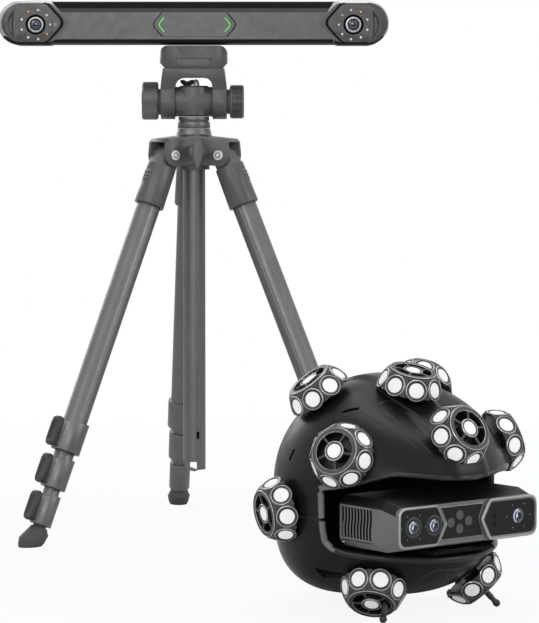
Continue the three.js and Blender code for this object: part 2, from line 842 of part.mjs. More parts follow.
// Fork: two bossed arms under a plate, open between by a rounded arch
function makeFork() {
  const inner = tilt.barrelWidth / 2 + fit;
  const rise = fork.plateRise;
  const under = rise - fork.plateThickness;
  const halfDepth = fork.plateDepth / 2;
  const side = new THREE.Shape();
  side.absarc(0, 0, fork.bossRadius, Math.PI, 2 * Math.PI);
  side.lineTo(fork.bossRadius, 0);
  side.lineTo(fork.waist / 2, under / 2);
  side.lineTo(halfDepth, under);
  side.lineTo(halfDepth, rise);
  side.lineTo(-halfDepth, rise);
  side.lineTo(-halfDepth, under);
  side.lineTo(-fork.waist / 2, under / 2);
  const outerHalf = inner + fork.armWidth;
  const front = new THREE.Shape();
  front.moveTo(-outerHalf, -fork.bossRadius);
  front.lineTo(-inner, -fork.bossRadius);
  front.lineTo(-inner, under - fork.archRadius);
  front.absarc(-inner + fork.archRadius, under - fork.archRadius, fork.archRadius, Math.PI, Math.PI / 2, true);
  front.lineTo(inner - fork.archRadius, under);
  front.absarc(inner - fork.archRadius, under - fork.archRadius, fork.archRadius, Math.PI / 2, 0, true);
  front.lineTo(inner, -fork.bossRadius);
  front.lineTo(outerHalf, -fork.bossRadius);
  front.lineTo(outerHalf, fork.bossRadius - fork.bossBevel);
  front.lineTo(fork.plateWidth / 2, rise);
  front.lineTo(-fork.plateWidth / 2, rise);
  front.lineTo(-outerHalf, fork.bossRadius - fork.bossBevel);
  const width = 2 * outerHalf + 2 * overrun;
  const sideBody = sideSlab(side, width, 0, 5).translate(-width / 2, 0, 0);
  const frontBody = frontSlab(front, 2 * fork.plateDepth, 0, 2).translate(0, -fork.plateDepth, 0);
  const shaftHole = bore(tilt.shaftRadius + fit, width, rounds.small)
    .rotateY(Math.PI / 2).translate(-width / 2, 0, 0);
  return cut(shared(sideBody, frontBody), shaftHole).translate(0, 0, tiltAxis);
}

const armFace = tilt.barrelWidth / 2 + fit + fork.armWidth;

// Lobed knob: a scalloped disc with a plain washer behind it
function makeLobedKnob() {
  const points = Array.from({ length: lobedKnob.lobes * 6 }, (unused, i) => {
    const angle = 2 * Math.PI * i / (lobedKnob.lobes * 6);
    const swell = (1 + Math.cos(angle * lobedKnob.lobes)) / 2;
    const radius = lobedKnob.waistRadius + (lobedKnob.radius - lobedKnob.waistRadius) * Math.sqrt(swell);
    return [radius * Math.cos(angle), radius * Math.sin(angle)];
  });
  const grip = slab(outlineShape(points), lobedKnob.length, lobedKnob.bevel)
    .translate(0, 0, lobedKnob.discLength);
  const washer = rod(lobedKnob.discRadius, lobedKnob.discLength + overrun, rounds.medium);
  const hole = bore(tilt.shaftRadius + fit, knurledKnob.neckLength + fit * 2 + overrun, rounds.small)
    .translate(0, 0, -overrun);
  return cut(join(grip, washer), hole).rotateY(-Math.PI / 2).translate(-armFace - fit, 0, tiltAxis);
}

// Knurled knob: fine ridges round a drum on a short neck
function makeKnurledKnob() {
  const points = Array.from({ length: knurledKnob.ridges * 2 }, (unused, i) => {
    const angle = Math.PI * i / knurledKnob.ridges;
    const radius = knurledKnob.radius - (i % 2) * knurledKnob.ridgeDepth;
    return [radius * Math.cos(angle), radius * Math.sin(angle)];
  });
  const grip = slab(outlineShape(points), knurledKnob.length, knurledKnob.bevel)
    .translate(0, 0, knurledKnob.neckLength);
  const neck = rod(knurledKnob.neckRadius, knurledKnob.neckLength + overrun, rounds.medium);
  const hole = bore(tilt.shaftRadius + fit, knurledKnob.neckLength + fit * 2 + overrun, rounds.small)
    .translate(0, 0, -overrun);
  return cut(join(grip, neck), hole).rotateY(Math.PI / 2).translate(armFace + fit, 0, tiltAxis);
}

// Quick release: lobed ends, a half-round panel in front and the pocket of the release button
function makeRelease() {
  const half = release.width / 2;
  const lobe = release.lobeRadius;
  const front = new THREE.Shape();
  front.moveTo(-half + release.shoulderInset, 0);
  front.lineTo(half - release.shoulderInset, 0);
  front.lineTo(half, release.shoulderInset);
  front.lineTo(half, release.height - lobe);
  front.absarc(half - lobe, release.height - lobe, lobe, 0, Math.PI / 2);
  front.lineTo(-half + lobe, release.height);
  front.absarc(-half + lobe, release.height - lobe, lobe, Math.PI / 2, Math.PI);
  front.lineTo(-half, release.shoulderInset);
  const plan = slab(roundedRectangle(release.width, release.depth, release.planRadius), release.height);
  const housing = shared(frontSlab(front, 2 * release.depth).translate(0, -release.depth, 0), plan);
  const disc = rod(release.discRadius, overrun, rounds.large).rotateX(Math.PI / 2)
    .translate(0, -release.depth / 2 + release.discInset, release.height + release.discRadius - release.discDrop);
  const pocket = box(release.buttonWidth + 2 * fit, release.buttonDepth * 2, release.buttonHeight + 2 * fit,
    0, -release.depth / 2, release.buttonRise + release.buttonHeight / 2 + fit);
  return cut(housing, disc, pocket).translate(0, 0, releaseBottom);
}

function makeReleaseButton() {
  const depth = release.buttonDepth - release.buttonTravel - fit;
  return frontSlab(roundedRectangle(release.buttonWidth, release.buttonHeight, release.buttonRise), depth)
    .translate(0, -release.depth / 2, releaseBottom + release.buttonRise + release.buttonHeight / 2 + fit);
}

function addHead() {
  model.add(piece('pan_base', makePanBase(), 'steel'));
  model.add(piece('tilt_body', makeTiltBody(), 'castGrey'));
  model.add(piece('tilt_fork', makeFork(), 'castGrey'));
  model.add(piece('tilt_knob', makeLobedKnob(), 'clampGrey'));
  model.add(piece('pan_knob', makeKnurledKnob(), 'clampGrey'));
  model.add(piece('quick_release', makeRelease(), 'castGrey'));
  model.add(piece('release_button', makeReleaseButton(), 'clampGrey'));
}

// Long bar outline at an inset from its full stadium, in the XZ plane at depth y
function stadiumRing(inset, y) {
  const radius = bar.height / 2 - inset;
  const straight = bar.length / 2 - bar.height / 2;
  const points = [];
  for (const side of [1, -1]) {
    for (let i = 0; i <= bar.endSides; i += 1) {
      const angle = -Math.PI / 2 + Math.PI * i / bar.endSides;
      points.push(new THREE.Vector3(side * (straight + radius * Math.cos(angle)), y, side * radius * Math.sin(angle)));
    }
  }
  return points;
}

const faceInset = (bar.height - bar.faceHeight) / 2;

// The bar itself; its end covers are fuller, their flat face running out to a narrow rim
function barBody(fuller) {
  const [front, back] = [-bar.depth / 2, bar.depth / 2];
  const face = fuller
    ? [stadiumRing(endCover.rimInset, front), stadiumRing(0, front + endCover.rimDepth)]
    : [
      stadiumRing(faceInset, front),
      stadiumRing(faceInset - bar.faceChamfer, front + bar.faceChamferDepth),
      stadiumRing(0, front + bar.flankDepth),
    ];
  return loft([
    ...face,
    stadiumRing(0, back - bar.backDepth),
    stadiumRing(bar.backInset, back),
  ]);
}

// The mirror image of a shape across the plane x = 0
function mirrored(geometry) {
  return facingOut(geometryOf(solidOf(geometry)).scale(-1, 1, 1));
}

// The end of the bar inside a pointed outline, grown where it cuts the clearance
function endRegion(grow, depth) {
  const outer = bar.length / 2 + overrun;
  const tall = bar.height / 2 + overrun;
  const tip = bar.length / 2 - endCover.tip - grow;
  const shoulderAt = bar.length / 2 - endCover.shoulder - grow;
  const shape = outlineShape([
    [outer, -tall],
    [outer, tall],
    [shoulderAt, tall],
    [tip, 0],
    [shoulderAt, -tall],
  ]);
  return frontSlab(shape, depth + overrun).translate(0, -bar.depth / 2 - overrun, 0);
}

// The outline of the centre cover: level edges and rounded points at both ends
function centreOutline(grow) {
  const half = bar.faceHeight / 2 - grow;
  const [tip, straight] = [centreCover.tip - grow, centreCover.straight - grow];
  const shape = new THREE.Shape();
  const share = centreCover.tipRound / half;
  const near = tip - (tip - straight) * share;
  shape.moveTo(-straight, -half);
  shape.lineTo(straight, -half);
  shape.lineTo(near, -half * share);
  shape.quadraticCurveTo(tip, 0, near, half * share);
  shape.lineTo(straight, half);
  shape.lineTo(-straight, half);
  shape.lineTo(-near, half * share);
  shape.quadraticCurveTo(-tip, 0, -near, -half * share);
  return shape;
}

// One green light's groove or strip: a bent bar that follows the cover's point
function lightOutline(grow) {
  const width = centreCover.lightWidth + 2 * grow;
  const [tip, end] = [centreCover.lightTip + grow, centreCover.lightEnd];
  const half = centreCover.lightHalf + grow;
  const shape = new THREE.Shape();
  shape.moveTo(end, -half);
  shape.quadraticCurveTo(tip + width / 2, 0, end, half);
  shape.lineTo(end - width, half);
  shape.quadraticCurveTo(tip - width / 2 - width, 0, end - width, -half);
  return shape;
}

function makeBarHousing() {
  const body = barBody(false);
  const pocketDepth = centreCover.thickness + fit;
  const ends = endRegion(fit, endCover.depth + fit);
  const centre = frontSlab(centreOutline(-fit), pocketDepth + overrun)
    .translate(0, -bar.depth / 2 - overrun, 0);
  return cut(body, ends, mirrored(ends), centre).translate(0, 0, barCentre);
}

function makeCentreCover() {
  const cover = frontSlab(centreOutline(0), centreCover.thickness);
  const groove = frontSlab(lightOutline(0), centreCover.lightDepth + overrun, 0, 5)
    .translate(0, -overrun, 0);
  return cut(cover, groove, mirrored(groove)).translate(0, -bar.depth / 2, barCentre);
}

// End cover: the bar's own rounded end inside the pointed outline, with the lens well,
// the ring of light points and the crescent recess near the tip of the bar
function makeEndCover() {
  const lensX = bar.length / 2 - endCover.lensInset;
  const front = -bar.depth / 2;
  const body = shared(barBody(true), endRegion(0, endCover.depth));
  const well = rod(endCover.ringRadius, endCover.ringDepth + overrun, rounds.large)
    .rotateX(Math.PI / 2).translate(lensX, front + endCover.ringDepth, 0);
  const faceRadius = bar.height / 2 - endCover.rimInset;
  const faceCentre = bar.length / 2 - bar.height / 2;
  const crescent = shared(
    cut(
      rod(faceRadius - endCover.crescentWidth / 2, endCover.crescentDepth + overrun, rounds.large),
      rod(faceRadius, 2 * bar.depth, rounds.large).translate(-endCover.crescentInset, 0, -bar.depth),
    ),
    box(bar.height, bar.height, bar.depth, bar.height / 2, 0, 0),
  ).rotateX(Math.PI / 2).translate(faceCentre, front + endCover.crescentDepth, 0);
  const leds = Array.from({ length: endCover.ledCount }, (unused, i) => {
    const angle = Math.PI + 2 * Math.PI * i / endCover.ledCount;
    return rod(endCover.ledRadius, 2 * endCover.ledHeight, 6).rotateX(Math.PI / 2)
      .translate(lensX + endCover.ledCircle * Math.cos(angle), front + endCover.ledHeight,
        endCover.ledCircle * Math.sin(angle));
  });
  return join(cut(body, well, crescent), ...leds);
}

function makeLens() {
  const rim = endCover.ringRadius - fit;
  const depth = endCover.ringDepth - fit;
  const back = -bar.depth / 2 + depth;
  const front = -bar.depth / 2;
  return turned([
    [0, 0],
    [rim, 0],
    [rim, depth],
    [lens.bezelRadius, depth],
    [lens.glassRadius, depth - lens.bezelDepth],
    [lens.glassRadius / 2, depth - lens.bezelDepth + lens.glassCrown * 3 / 4],
    [0, depth - lens.bezelDepth + lens.glassCrown],
  ], rounds.large).rotateX(Math.PI / 2).translate(bar.length / 2 - endCover.lensInset, back, 0);
}

function addBar() {
  model.add(piece('bar_housing', makeBarHousing(), 'faceGrey'));
  model.add(piece('centre_cover', makeCentreCover(), 'faceGrey'));
  const cover = makeEndCover();
  const eye = makeLens();
  model.add(piece('right_end_cover', cover.clone().translate(0, 0, barCentre), 'barDark'));
  model.add(piece('left_end_cover', mirrored(cover).translate(0, 0, barCentre), 'barDark'));
  model.add(piece('right_lens', eye.clone().translate(0, 0, barCentre), 'lensGlass'));
  model.add(piece('left_lens', mirrored(eye).translate(0, 0, barCentre), 'lensGlass'));
}

// Ball shell, drawn about its own centre with the mouth looking along -Y
const ballRise = ball.radius - ball.crownInset;
const ballDrop = ball.radius - ball.chinInset;
const ballCentre = ballDrop + ball.floorGap;

function shellPoint(bearing, elevation, inset) {
  const [level, upright] = [Math.cos(elevation), Math.sin(elevation)];
  const up = upright > 0;
  const boxy = THREE.MathUtils.smoothstep(-Math.cos(bearing), -ball.jawStart, ball.jawStart);
  const power = up ? ball.crownPower : THREE.MathUtils.lerp(ball.chinPower, ball.jawPower, boxy);
  const tall = up ? ballRise : ballDrop;
  const round = ((level / ball.radius) ** power + (Math.abs(upright) / tall) ** power) ** (-1 / power);
  const tilt = radians(ball.foreheadTilt);
  const ahead = level * Math.cos(bearing) * Math.cos(tilt) + upright * Math.sin(tilt);
  const proud = (round * ahead - ball.radius + ball.foreheadInset) / ball.foreheadSoftness;
  const reach = round - ball.foreheadSoftness * Math.log1p(Math.exp(proud));
  const across = Math.abs(reach * level * Math.sin(bearing));
  const front = Math.cos(bearing) > 0;
  const spine = up ? ball.spineHeight * THREE.MathUtils.smoothstep(ball.spineWidth - across, 0, ball.spineHeight * 2) : 0;
  const brow = up && front ? ball.browHeight * Math.exp(-(((reach * upright - ball.browDrop) / ball.browDrop) ** 2)) : 0;
  const radius = reach - inset + (inset > 0 ? 0 : spine + brow * Math.cos(bearing) ** 2);
  return new THREE.Vector3(
    radius * level * Math.sin(bearing),
    -radius * level * Math.cos(bearing),
    radius * upright,
  );
}

function shellBody(inset, meridians, parallels) {
  const positions = [];
  const faces = [];
  const bottom = shellPoint(0, -Math.PI / 2, inset);
  const top = shellPoint(0, Math.PI / 2, inset);
  positions.push(bottom.x, bottom.y, bottom.z);
  for (let row = 1; row < parallels; row += 1) {
    const elevation = -Math.PI / 2 + Math.PI * row / parallels;
    for (let i = 0; i < meridians; i += 1) {
      const point = shellPoint(2 * Math.PI * i / meridians, elevation, inset);
      positions.push(point.x, point.y, point.z);
    }
  }
  positions.push(top.x, top.y, top.z);
  const crest = 1 + (parallels - 1) * meridians;
  for (let i = 0; i < meridians; i += 1) {
    const next = (i + 1) % meridians;
    faces.push(0, 1 + next, 1 + i);
    for (let row = 0; row + 2 < parallels; row += 1) {
      const [a, b] = [1 + row * meridians + i, 1 + row * meridians + next];
      faces.push(a, b, b + meridians, a, b + meridians, a + meridians);
    }
    faces.push(crest, crest - meridians + i, crest - meridians + next);
  }
  const geometry = new THREE.BufferGeometry();
  geometry.setAttribute('position', new THREE.Float32BufferAttribute(positions, 3));
  geometry.setIndex(faces);
  return facingOut(geometry);
}

// The lip of the jaw passes just under the tray that carries the scanner
const trayTop = -scanner.centreDrop - scanner.height / 2 - fit;
const lipLevel = trayTop - cradle.trayThickness - mouth.lipClearance;

// Mouth outline seen from the front: a brow with sloping corners above, a sagging lip below
function mouthShape() {
  const { halfWidth, browRise, browCorner, lipSag, corner } = mouth;
  const shape = new THREE.Shape();
  shape.moveTo(-halfWidth + corner, lipLevel);
  shape.quadraticCurveTo(0, lipLevel - 2 * lipSag, halfWidth - corner, lipLevel);
  shape.lineTo(halfWidth, lipLevel + corner);
  shape.lineTo(halfWidth, browRise - browCorner);
  shape.lineTo(halfWidth - browCorner, browRise);
  shape.lineTo(-halfWidth + browCorner, browRise);
  shape.lineTo(-halfWidth, browRise - browCorner);
  shape.lineTo(-halfWidth, lipLevel + corner);
  return shape;
}

function drumDirection(bearing, elevation) {
  const [b, e] = [radians(bearing), radians(elevation)];
  return new THREE.Vector3(Math.cos(e) * Math.sin(b), -Math.cos(e) * Math.cos(b), Math.sin(e));
}

// How far from the ball's centre a drum sits, just proud of the shell
function drumSeat(bearing, elevation) {
  return shellPoint(radians(bearing), radians(elevation), 0).length() + drum.bossProud;
}

// Turns a shape drawn along +Z to look along a direction, its origin at a distance from the centre
function aimed(geometry, direction, distance) {
  const turn = new THREE.Quaternion().setFromUnitVectors(new THREE.Vector3(0, 0, 1), direction);
  return geometry.clone().applyQuaternion(turn)
    .translate(direction.x * distance, direction.y * distance, direction.z * distance);
}

function makeShells() {
  const reach = ball.radius + ball.browHeight + drum.height;
  const outside = shellBody(0, ball.meridians, ball.parallels);
  const inside = shellBody(ball.wall, ball.innerMeridians, ball.innerParallels);
  const bosses = drumPlaces.map(({ bearing, elevation }) => aimed(
    rod(drum.bossRadius, drum.bossLength, rounds.coarse), drumDirection(bearing, elevation),
    drumSeat(bearing, elevation) - fit - drum.bossLength,
  ));
  const nests = drumPlaces.map(({ bearing, elevation }) => aimed(
    bore(drum.backReach / Math.cos(Math.PI / drum.discs) + overrun, drum.height, rounds.medium),
    drumDirection(bearing, elevation),
    drumSeat(bearing, elevation) - fit,
  ));
  const mouthCut = frontSlab(mouthShape(), reach - mouth.back, 0, 8).translate(0, -reach, 0);
  const rear = slab(roundedRectangle(2 * rearOpening.halfWidth, rearOpening.top + rearOpening.bottom,
    rearOpening.corner, 0, (rearOpening.top - rearOpening.bottom) / 2), reach)
    .rotateX(Math.PI / 2).translate(0, reach + rearOpening.front, 0);
  const shell = cut(outside, inside, mouthCut, rear, ...nests);
  const bossed = cut(join(shell, ...bosses), mouthCut);
  const upperHalf = box(2 * reach, 2 * reach, 2 * reach, 0, 0, reach - seam.drop + fit / 2);
  const lowerHalf = box(2 * reach, 2 * reach, 2 * reach, 0, 0, -reach - seam.drop - fit / 2);
  const root = shellPoint(Math.PI, radians(rearFoot.elevation), ball.wall / 2);
  const foot = rod(rearFoot.tipRadius, root.z + ballCentre, rounds.coarse, rearFoot.radius)
    .translate(root.x, root.y, -ballCentre);
  const pad = box(cradle.postWidth + 2 * ball.wall, cradle.postDepth + 2 * ball.wall, 2 * ball.wall,
    0, 0, -ballDrop + ball.wall);
  return {
    upper: shared(bossed, upperHalf),
    lower: join(shared(bossed, lowerHalf), pad, foot),
  };
}

// Marker drum along +Z from its seat: stalk, flared eight-sided wall with its discs, spoked
// ring and hub
function makeDrum() {
  const back = drum.stalkLength;
  const front = back + drum.height;
  const corner = 1 / Math.cos(Math.PI / drum.discs);
  const wallTop = front - drum.ringThickness;
  const bite = drum.ringThickness / 3;
  const wall = turned([
    [drum.stalkRadius, back],
    [drum.backReach * corner, back],
    [drum.frontReach * corner, wallTop],
    [(drum.frontReach - drum.wall) * corner, wallTop],
    [(drum.backReach - drum.wall) * corner, back + drum.wall],
    [drum.stalkRadius, back + drum.wall],
    [drum.stalkRadius, back],
  ], drum.discs).rotateZ(Math.PI / drum.discs);
  const wheel = outlineShape(Array.from({ length: 2 * drum.discs }, (unused, i) => [
    drum.frontReach * Math.cos(Math.PI * i / drum.discs),
    drum.frontReach * Math.sin(Math.PI * i / drum.discs),
  ]));
  for (let i = 0; i < drum.spokes; i += 1) {
    const start = 2 * Math.PI * i / drum.spokes;
    const window = new THREE.Path();
    const [low, high] = [drum.hubRadius, drum.frontReach - drum.ringWidth];
    const [lowHalf, highHalf] = [low, high].map((at) => Math.asin(drum.spokeWidth / 2 / at));
    const end = start + 2 * Math.PI / drum.spokes;
    window.absarc(0, 0, high, start + highHalf, end - highHalf);
    window.absarc(0, 0, low, end - lowHalf, start + lowHalf, true);
    wheel.holes.push(window);
  }
  const face = slab(wheel, drum.ringThickness + bite, 0, 1).translate(0, 0, wallTop - bite);
  const stalk = rod(drum.stalkRadius + drum.wall / 2, back + drum.wall / 2, rounds.coarse);
  const hub = rod(drum.hubRadius - drum.spokeWidth / 2, drum.height, rounds.coarse).translate(0, 0, drum.wall / 2);
  const dot = rod(drum.dotRadius, drum.dotHeight + drum.wall, rounds.coarse).translate(0, 0, front - drum.wall);
  const wallHeight = drum.height - drum.ringThickness;
  const lean = Math.atan2(drum.backReach - drum.frontReach, wallHeight);
  const middle = (drum.backReach + drum.frontReach) / 2;
  const discs = Array.from({ length: drum.discs }, (unused, i) => rod(
    drum.discRadius, drum.discThickness + drum.discSink, rounds.coarse)
    .rotateZ(Math.PI / rounds.coarse).translate(0, 0, -drum.discSink).rotateY(Math.PI / 2 - lean)
    .translate(middle + drum.discDrop * Math.sin(lean), 0, back + wallHeight / 2 - drum.discDrop * Math.cos(lean))
    .rotateZ(2 * Math.PI * i / drum.discs));
  return join(wall, face, stalk, hub, dot, ...discs);
}

// Front foot of the ball: a round-ended peg that stands in one window of a chin drum and
// reaches the floor; the drum is spun so that the window lies toward the front
function chinFoot(bearing, elevation) {
  const direction = drumDirection(bearing, elevation);
  const seat = drumSeat(bearing, elevation);
  const inward = -Math.sign(bearing);
  const tangent = new THREE.Vector3(
    inward * Math.cos(radians(bearing)), -Math.abs(Math.sin(radians(bearing))), 0,
  );
  const turn = new THREE.Quaternion().setFromUnitVectors(new THREE.Vector3(0, 0, 1), direction);
  const across = tangent.applyQuaternion(turn.invert());
  const angle = Math.atan2(across.y, across.x);
  const reach = (ballCentre - chinPeg.tipRadius) / -direction.z - seat;
  const start = drum.stalkLength + drum.wall / 2;
  const peg = turned([
    [0, start],
    [chinPeg.radius, start],
    [chinPeg.radius, reach - chinPeg.tipRadius],
    [chinPeg.tipRadius, reach],
    [chinPeg.tipRadius * Math.SQRT1_2, reach + chinPeg.tipRadius * Math.SQRT1_2],
    [0, reach + chinPeg.tipRadius],
  ], rounds.coarse).translate(chinPeg.offset * Math.cos(angle), chinPeg.offset * Math.sin(angle), 0);
  return { peg, spin: angle - Math.PI / drum.spokes };
}

// Scanner body: bevelled block with a stepped face, side grilles and wells for the two plates
function makeScannerBody() {
  const [half, tall] = [scanner.width / 2, scanner.height / 2];
  const ring = (sideInset, lidInset, y) => {
    const bevel = scanner.chamfer;
    const [w, h] = [half - sideInset, tall - lidInset];
    return [
      [w - bevel, -h], [w, -h + bevel], [w, h - bevel], [w - bevel, h],
      [-w + bevel, h], [-w, h - bevel], [-w, -h + bevel], [-w + bevel, -h],
    ].map(([x, z]) => new THREE.Vector3(x, y, z));
  };
  const front = -scanner.faceReach;
  const back = front + scanner.depth;
  const body = loft([
    ring(scanner.faceInset, scanner.lidInset, front),
    ring(0, 0, front + scanner.taper),
    ring(0, 0, back - scanner.backInset),
    ring(scanner.backInset, scanner.backInset, back),
  ]);
  const grilles = [];
  for (const side of [-1, 1]) {
    for (let i = 0; i < scanner.grilleSlots; i += 1) {
      grilles.push(box(2 * scanner.grilleDepth, scanner.grilleSlot, scanner.grilleHeight,
        side * half, front + scanner.grilleStart + i * scanner.grillePitch, 0));
    }
  }
  const wells = [leftPlateShape(-fit), rightPlateShape(-fit)].map((shape) =>
    frontSlab(shape, plates.thickness + fit + overrun).translate(0, front - overrun, 0));
  const keyWells = keyPlaces().map(([x, z]) => rod(keys.radius + fit, keys.length + fit + keys.travel, rounds.small)
    .rotateX(Math.PI / 2).translate(x, front + keys.length - keys.proud + keys.travel + fit, z));
  return cut(body, ...grilles, ...wells, ...keyWells);
}

function leftPlateShape(inset) {
  const tall = plates.halfHeight - inset;
  return outlineShape([
    [plates.leftEdge + inset, -tall],
    [plates.leftShoulder - inset, -tall],
    [plates.leftTip - inset, 0],
    [plates.leftShoulder - inset, tall],
    [plates.leftEdge + inset, tall],
  ]);
}

function rightPlateShape(inset) {
  const tall = plates.halfHeight - inset;
  return outlineShape([
    [plates.rightEdge - inset, tall],
    [plates.rightShoulder + inset, tall],
    [plates.rightTip + inset, 0],
    [plates.rightShoulder + inset, -tall],
    [plates.rightEdge - inset, -tall],
  ]);
}

function keyPlaces() {
  return [
    [keys.centre, keys.upward],
    [keys.centre, -keys.upward],
    [keys.centre - keys.sideways, 0],
    [keys.centre + keys.sideways, 0],
  ];
}

function makePlate(shape, lenses, squares) {
  const plate = frontSlab(shape, plates.thickness);
  const rims = lenses.map((x) => rod(plates.lensRadius, plates.lensProud + plates.thickness / 2, rounds.medium)
    .rotateX(Math.PI / 2).translate(x, plates.thickness / 2, 0));
  const glass = lenses.map((x) => rod(plates.glassRadius, overrun, rounds.medium)
    .rotateX(Math.PI / 2).translate(x, -plates.lensProud + plates.glassSink, 0));
  const windows = squares.map(([x, z]) => box(plates.squareSide, 2 * plates.squareDepth, plates.squareSide, x, 0, z));
  return cut(join(plate, ...rims), ...glass, ...windows);
}

function makeKey() {
  const top = keys.length;
  return turned([
    [0, 0],
    [keys.radius, 0],
    [keys.radius, top - keys.crownInset],
    [keys.radius - keys.crownInset, top],
    [0, top],
  ], rounds.small).rotateX(Math.PI / 2).translate(0, keys.length - keys.proud, 0);
}

// Cradle: tray under the scanner, post down to the jaw and the grip behind
function makeCradle() {
  const trayFront = -scanner.faceReach + cradle.trayInset;
  const trayCentre = trayFront + cradle.trayDepth / 2;
  const tray = box(cradle.trayWidth, cradle.trayDepth, cradle.trayThickness,
    0, trayCentre, trayTop - cradle.trayThickness / 2);
  const floorInside = -ballDrop + 2 * ball.wall + fit;
  const postHeight = trayTop - floorInside - cradle.trayThickness / 2;
  const post = box(cradle.postWidth, cradle.postDepth, postHeight, 0, 0, floorInside + postHeight / 2);
  const bridgeLength = cradle.gripBehind - trayCentre;
  const bridge = box(cradle.postWidth, bridgeLength, cradle.bridge,
    0, trayCentre + bridgeLength / 2, trayTop - cradle.bridge / 2);
  const grip = slab(roundedRectangle(cradle.gripWidth, cradle.gripDepth, cradle.gripDepth / 2 - fit),
    cradle.gripHeight).translate(0, cradle.gripBehind, trayTop - cradle.bridge);
  const wallHeight = cradle.wallTop - trayTop + cradle.trayThickness;
  const wall = box(cradle.wallWidth, cradle.wallThickness, wallHeight,
    0, cradle.wallAt, cradle.wallTop - wallHeight / 2);
  return join(tray, post, bridge, grip, wall);
}

function addBall() {
  const whole = new THREE.Group();
  whole.position.set(ball.east, ball.north, ballCentre);
  whole.rotation.z = radians(ball.turn);
  const shells = makeShells();
  whole.add(piece('shell_upper', shells.upper, 'shellBlack'));
  whole.add(piece('shell_lower', shells.lower, 'shellBlack'));
  const drumShape = makeDrum();
  drumPlaces.forEach(({ name, bearing, elevation }) => {
    const direction = drumDirection(bearing, elevation);
    const foot = name.includes('chin') ? chinFoot(bearing, elevation) : null;
    const shape = foot ? join(drumShape.clone().rotateZ(foot.spin), foot.peg) : drumShape;
    const holder = piece(name, shape, 'drumBlack');
    holder.quaternion.setFromUnitVectors(new THREE.Vector3(0, 0, 1), direction);
    holder.position.copy(direction).multiplyScalar(drumSeat(bearing, elevation));
    whole.add(holder);
  });
  const hand = new THREE.Group();
  hand.position.set(scanner.offset, 0, -scanner.centreDrop);
  hand.add(piece('scanner_body', makeScannerBody(), 'scannerBlack'));
  const left = piece('left_window_plate', makePlate(leftPlateShape(0), plates.leftLenses, []), 'scannerBlack');
  const squares = [plates.squareDrop, -plates.squareDrop].map((z) => [plates.squareAt, z]);
  const right = piece('right_window_plate', makePlate(rightPlateShape(0), plates.rightLenses, squares), 'scannerBlack');
  left.position.y = -scanner.faceReach;
  right.position.y = -scanner.faceReach;
  hand.add(left, right);
  const keyShape = makeKey();
  ['key_up', 'key_down', 'key_left', 'key_right'].forEach((name, i) => {
    const [x, z] = keyPlaces()[i];
    const key = piece(name, keyShape, 'clampGrey');
    key.position.set(x, -scanner.faceReach, z);
    hand.add(key);
  });
  whole.add(hand);
  whole.add(piece('grip_cradle', makeCradle(), 'scannerBlack'));
  model.add(whole);
}

addTripod();
addHead();
addBar();
addBall();

// The origin is the middle of the floor under the whole set
model.updateMatrixWorld(true);
const bounds = new THREE.Box3().setFromObject(model, true);
const middle = bounds.getCenter(new THREE.Vector3());
model.position.set(-middle.x, -middle.y, -bounds.min.z);

export default model;
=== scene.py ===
import bpy
import bmesh
from math import asin, atan, atan2, copysign, cos, exp, hypot, log1p, pi, radians, sin, sqrt
from mathutils import Matrix, Vector
from mathutils.geometry import normal


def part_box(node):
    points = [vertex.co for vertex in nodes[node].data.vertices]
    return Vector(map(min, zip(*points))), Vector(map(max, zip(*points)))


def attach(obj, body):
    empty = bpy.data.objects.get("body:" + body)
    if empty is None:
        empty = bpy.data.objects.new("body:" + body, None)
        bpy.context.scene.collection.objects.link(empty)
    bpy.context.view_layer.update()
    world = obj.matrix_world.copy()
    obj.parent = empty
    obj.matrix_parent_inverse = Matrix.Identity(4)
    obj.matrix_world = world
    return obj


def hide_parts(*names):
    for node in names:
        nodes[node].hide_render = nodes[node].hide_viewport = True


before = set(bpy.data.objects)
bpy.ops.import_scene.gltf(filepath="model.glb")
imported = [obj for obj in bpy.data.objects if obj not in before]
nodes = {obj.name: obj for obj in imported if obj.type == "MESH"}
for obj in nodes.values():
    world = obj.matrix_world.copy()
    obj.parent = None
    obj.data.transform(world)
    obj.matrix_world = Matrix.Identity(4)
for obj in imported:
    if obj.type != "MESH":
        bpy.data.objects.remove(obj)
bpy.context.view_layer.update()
mm = 0.001
print("frame loaded:", len(nodes), "nodes")

columnLow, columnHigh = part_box("centre_column")
columnAxis = Vector(((columnLow.x + columnHigh.x) / 2, (columnLow.y + columnHigh.y) / 2, 0))
knobLow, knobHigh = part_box("pan_knob")
tiltLevel = (knobLow.z + knobHigh.z) / 2 / mm
barLow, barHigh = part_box("bar_housing")
barCentre = (barLow + barHigh) / 2


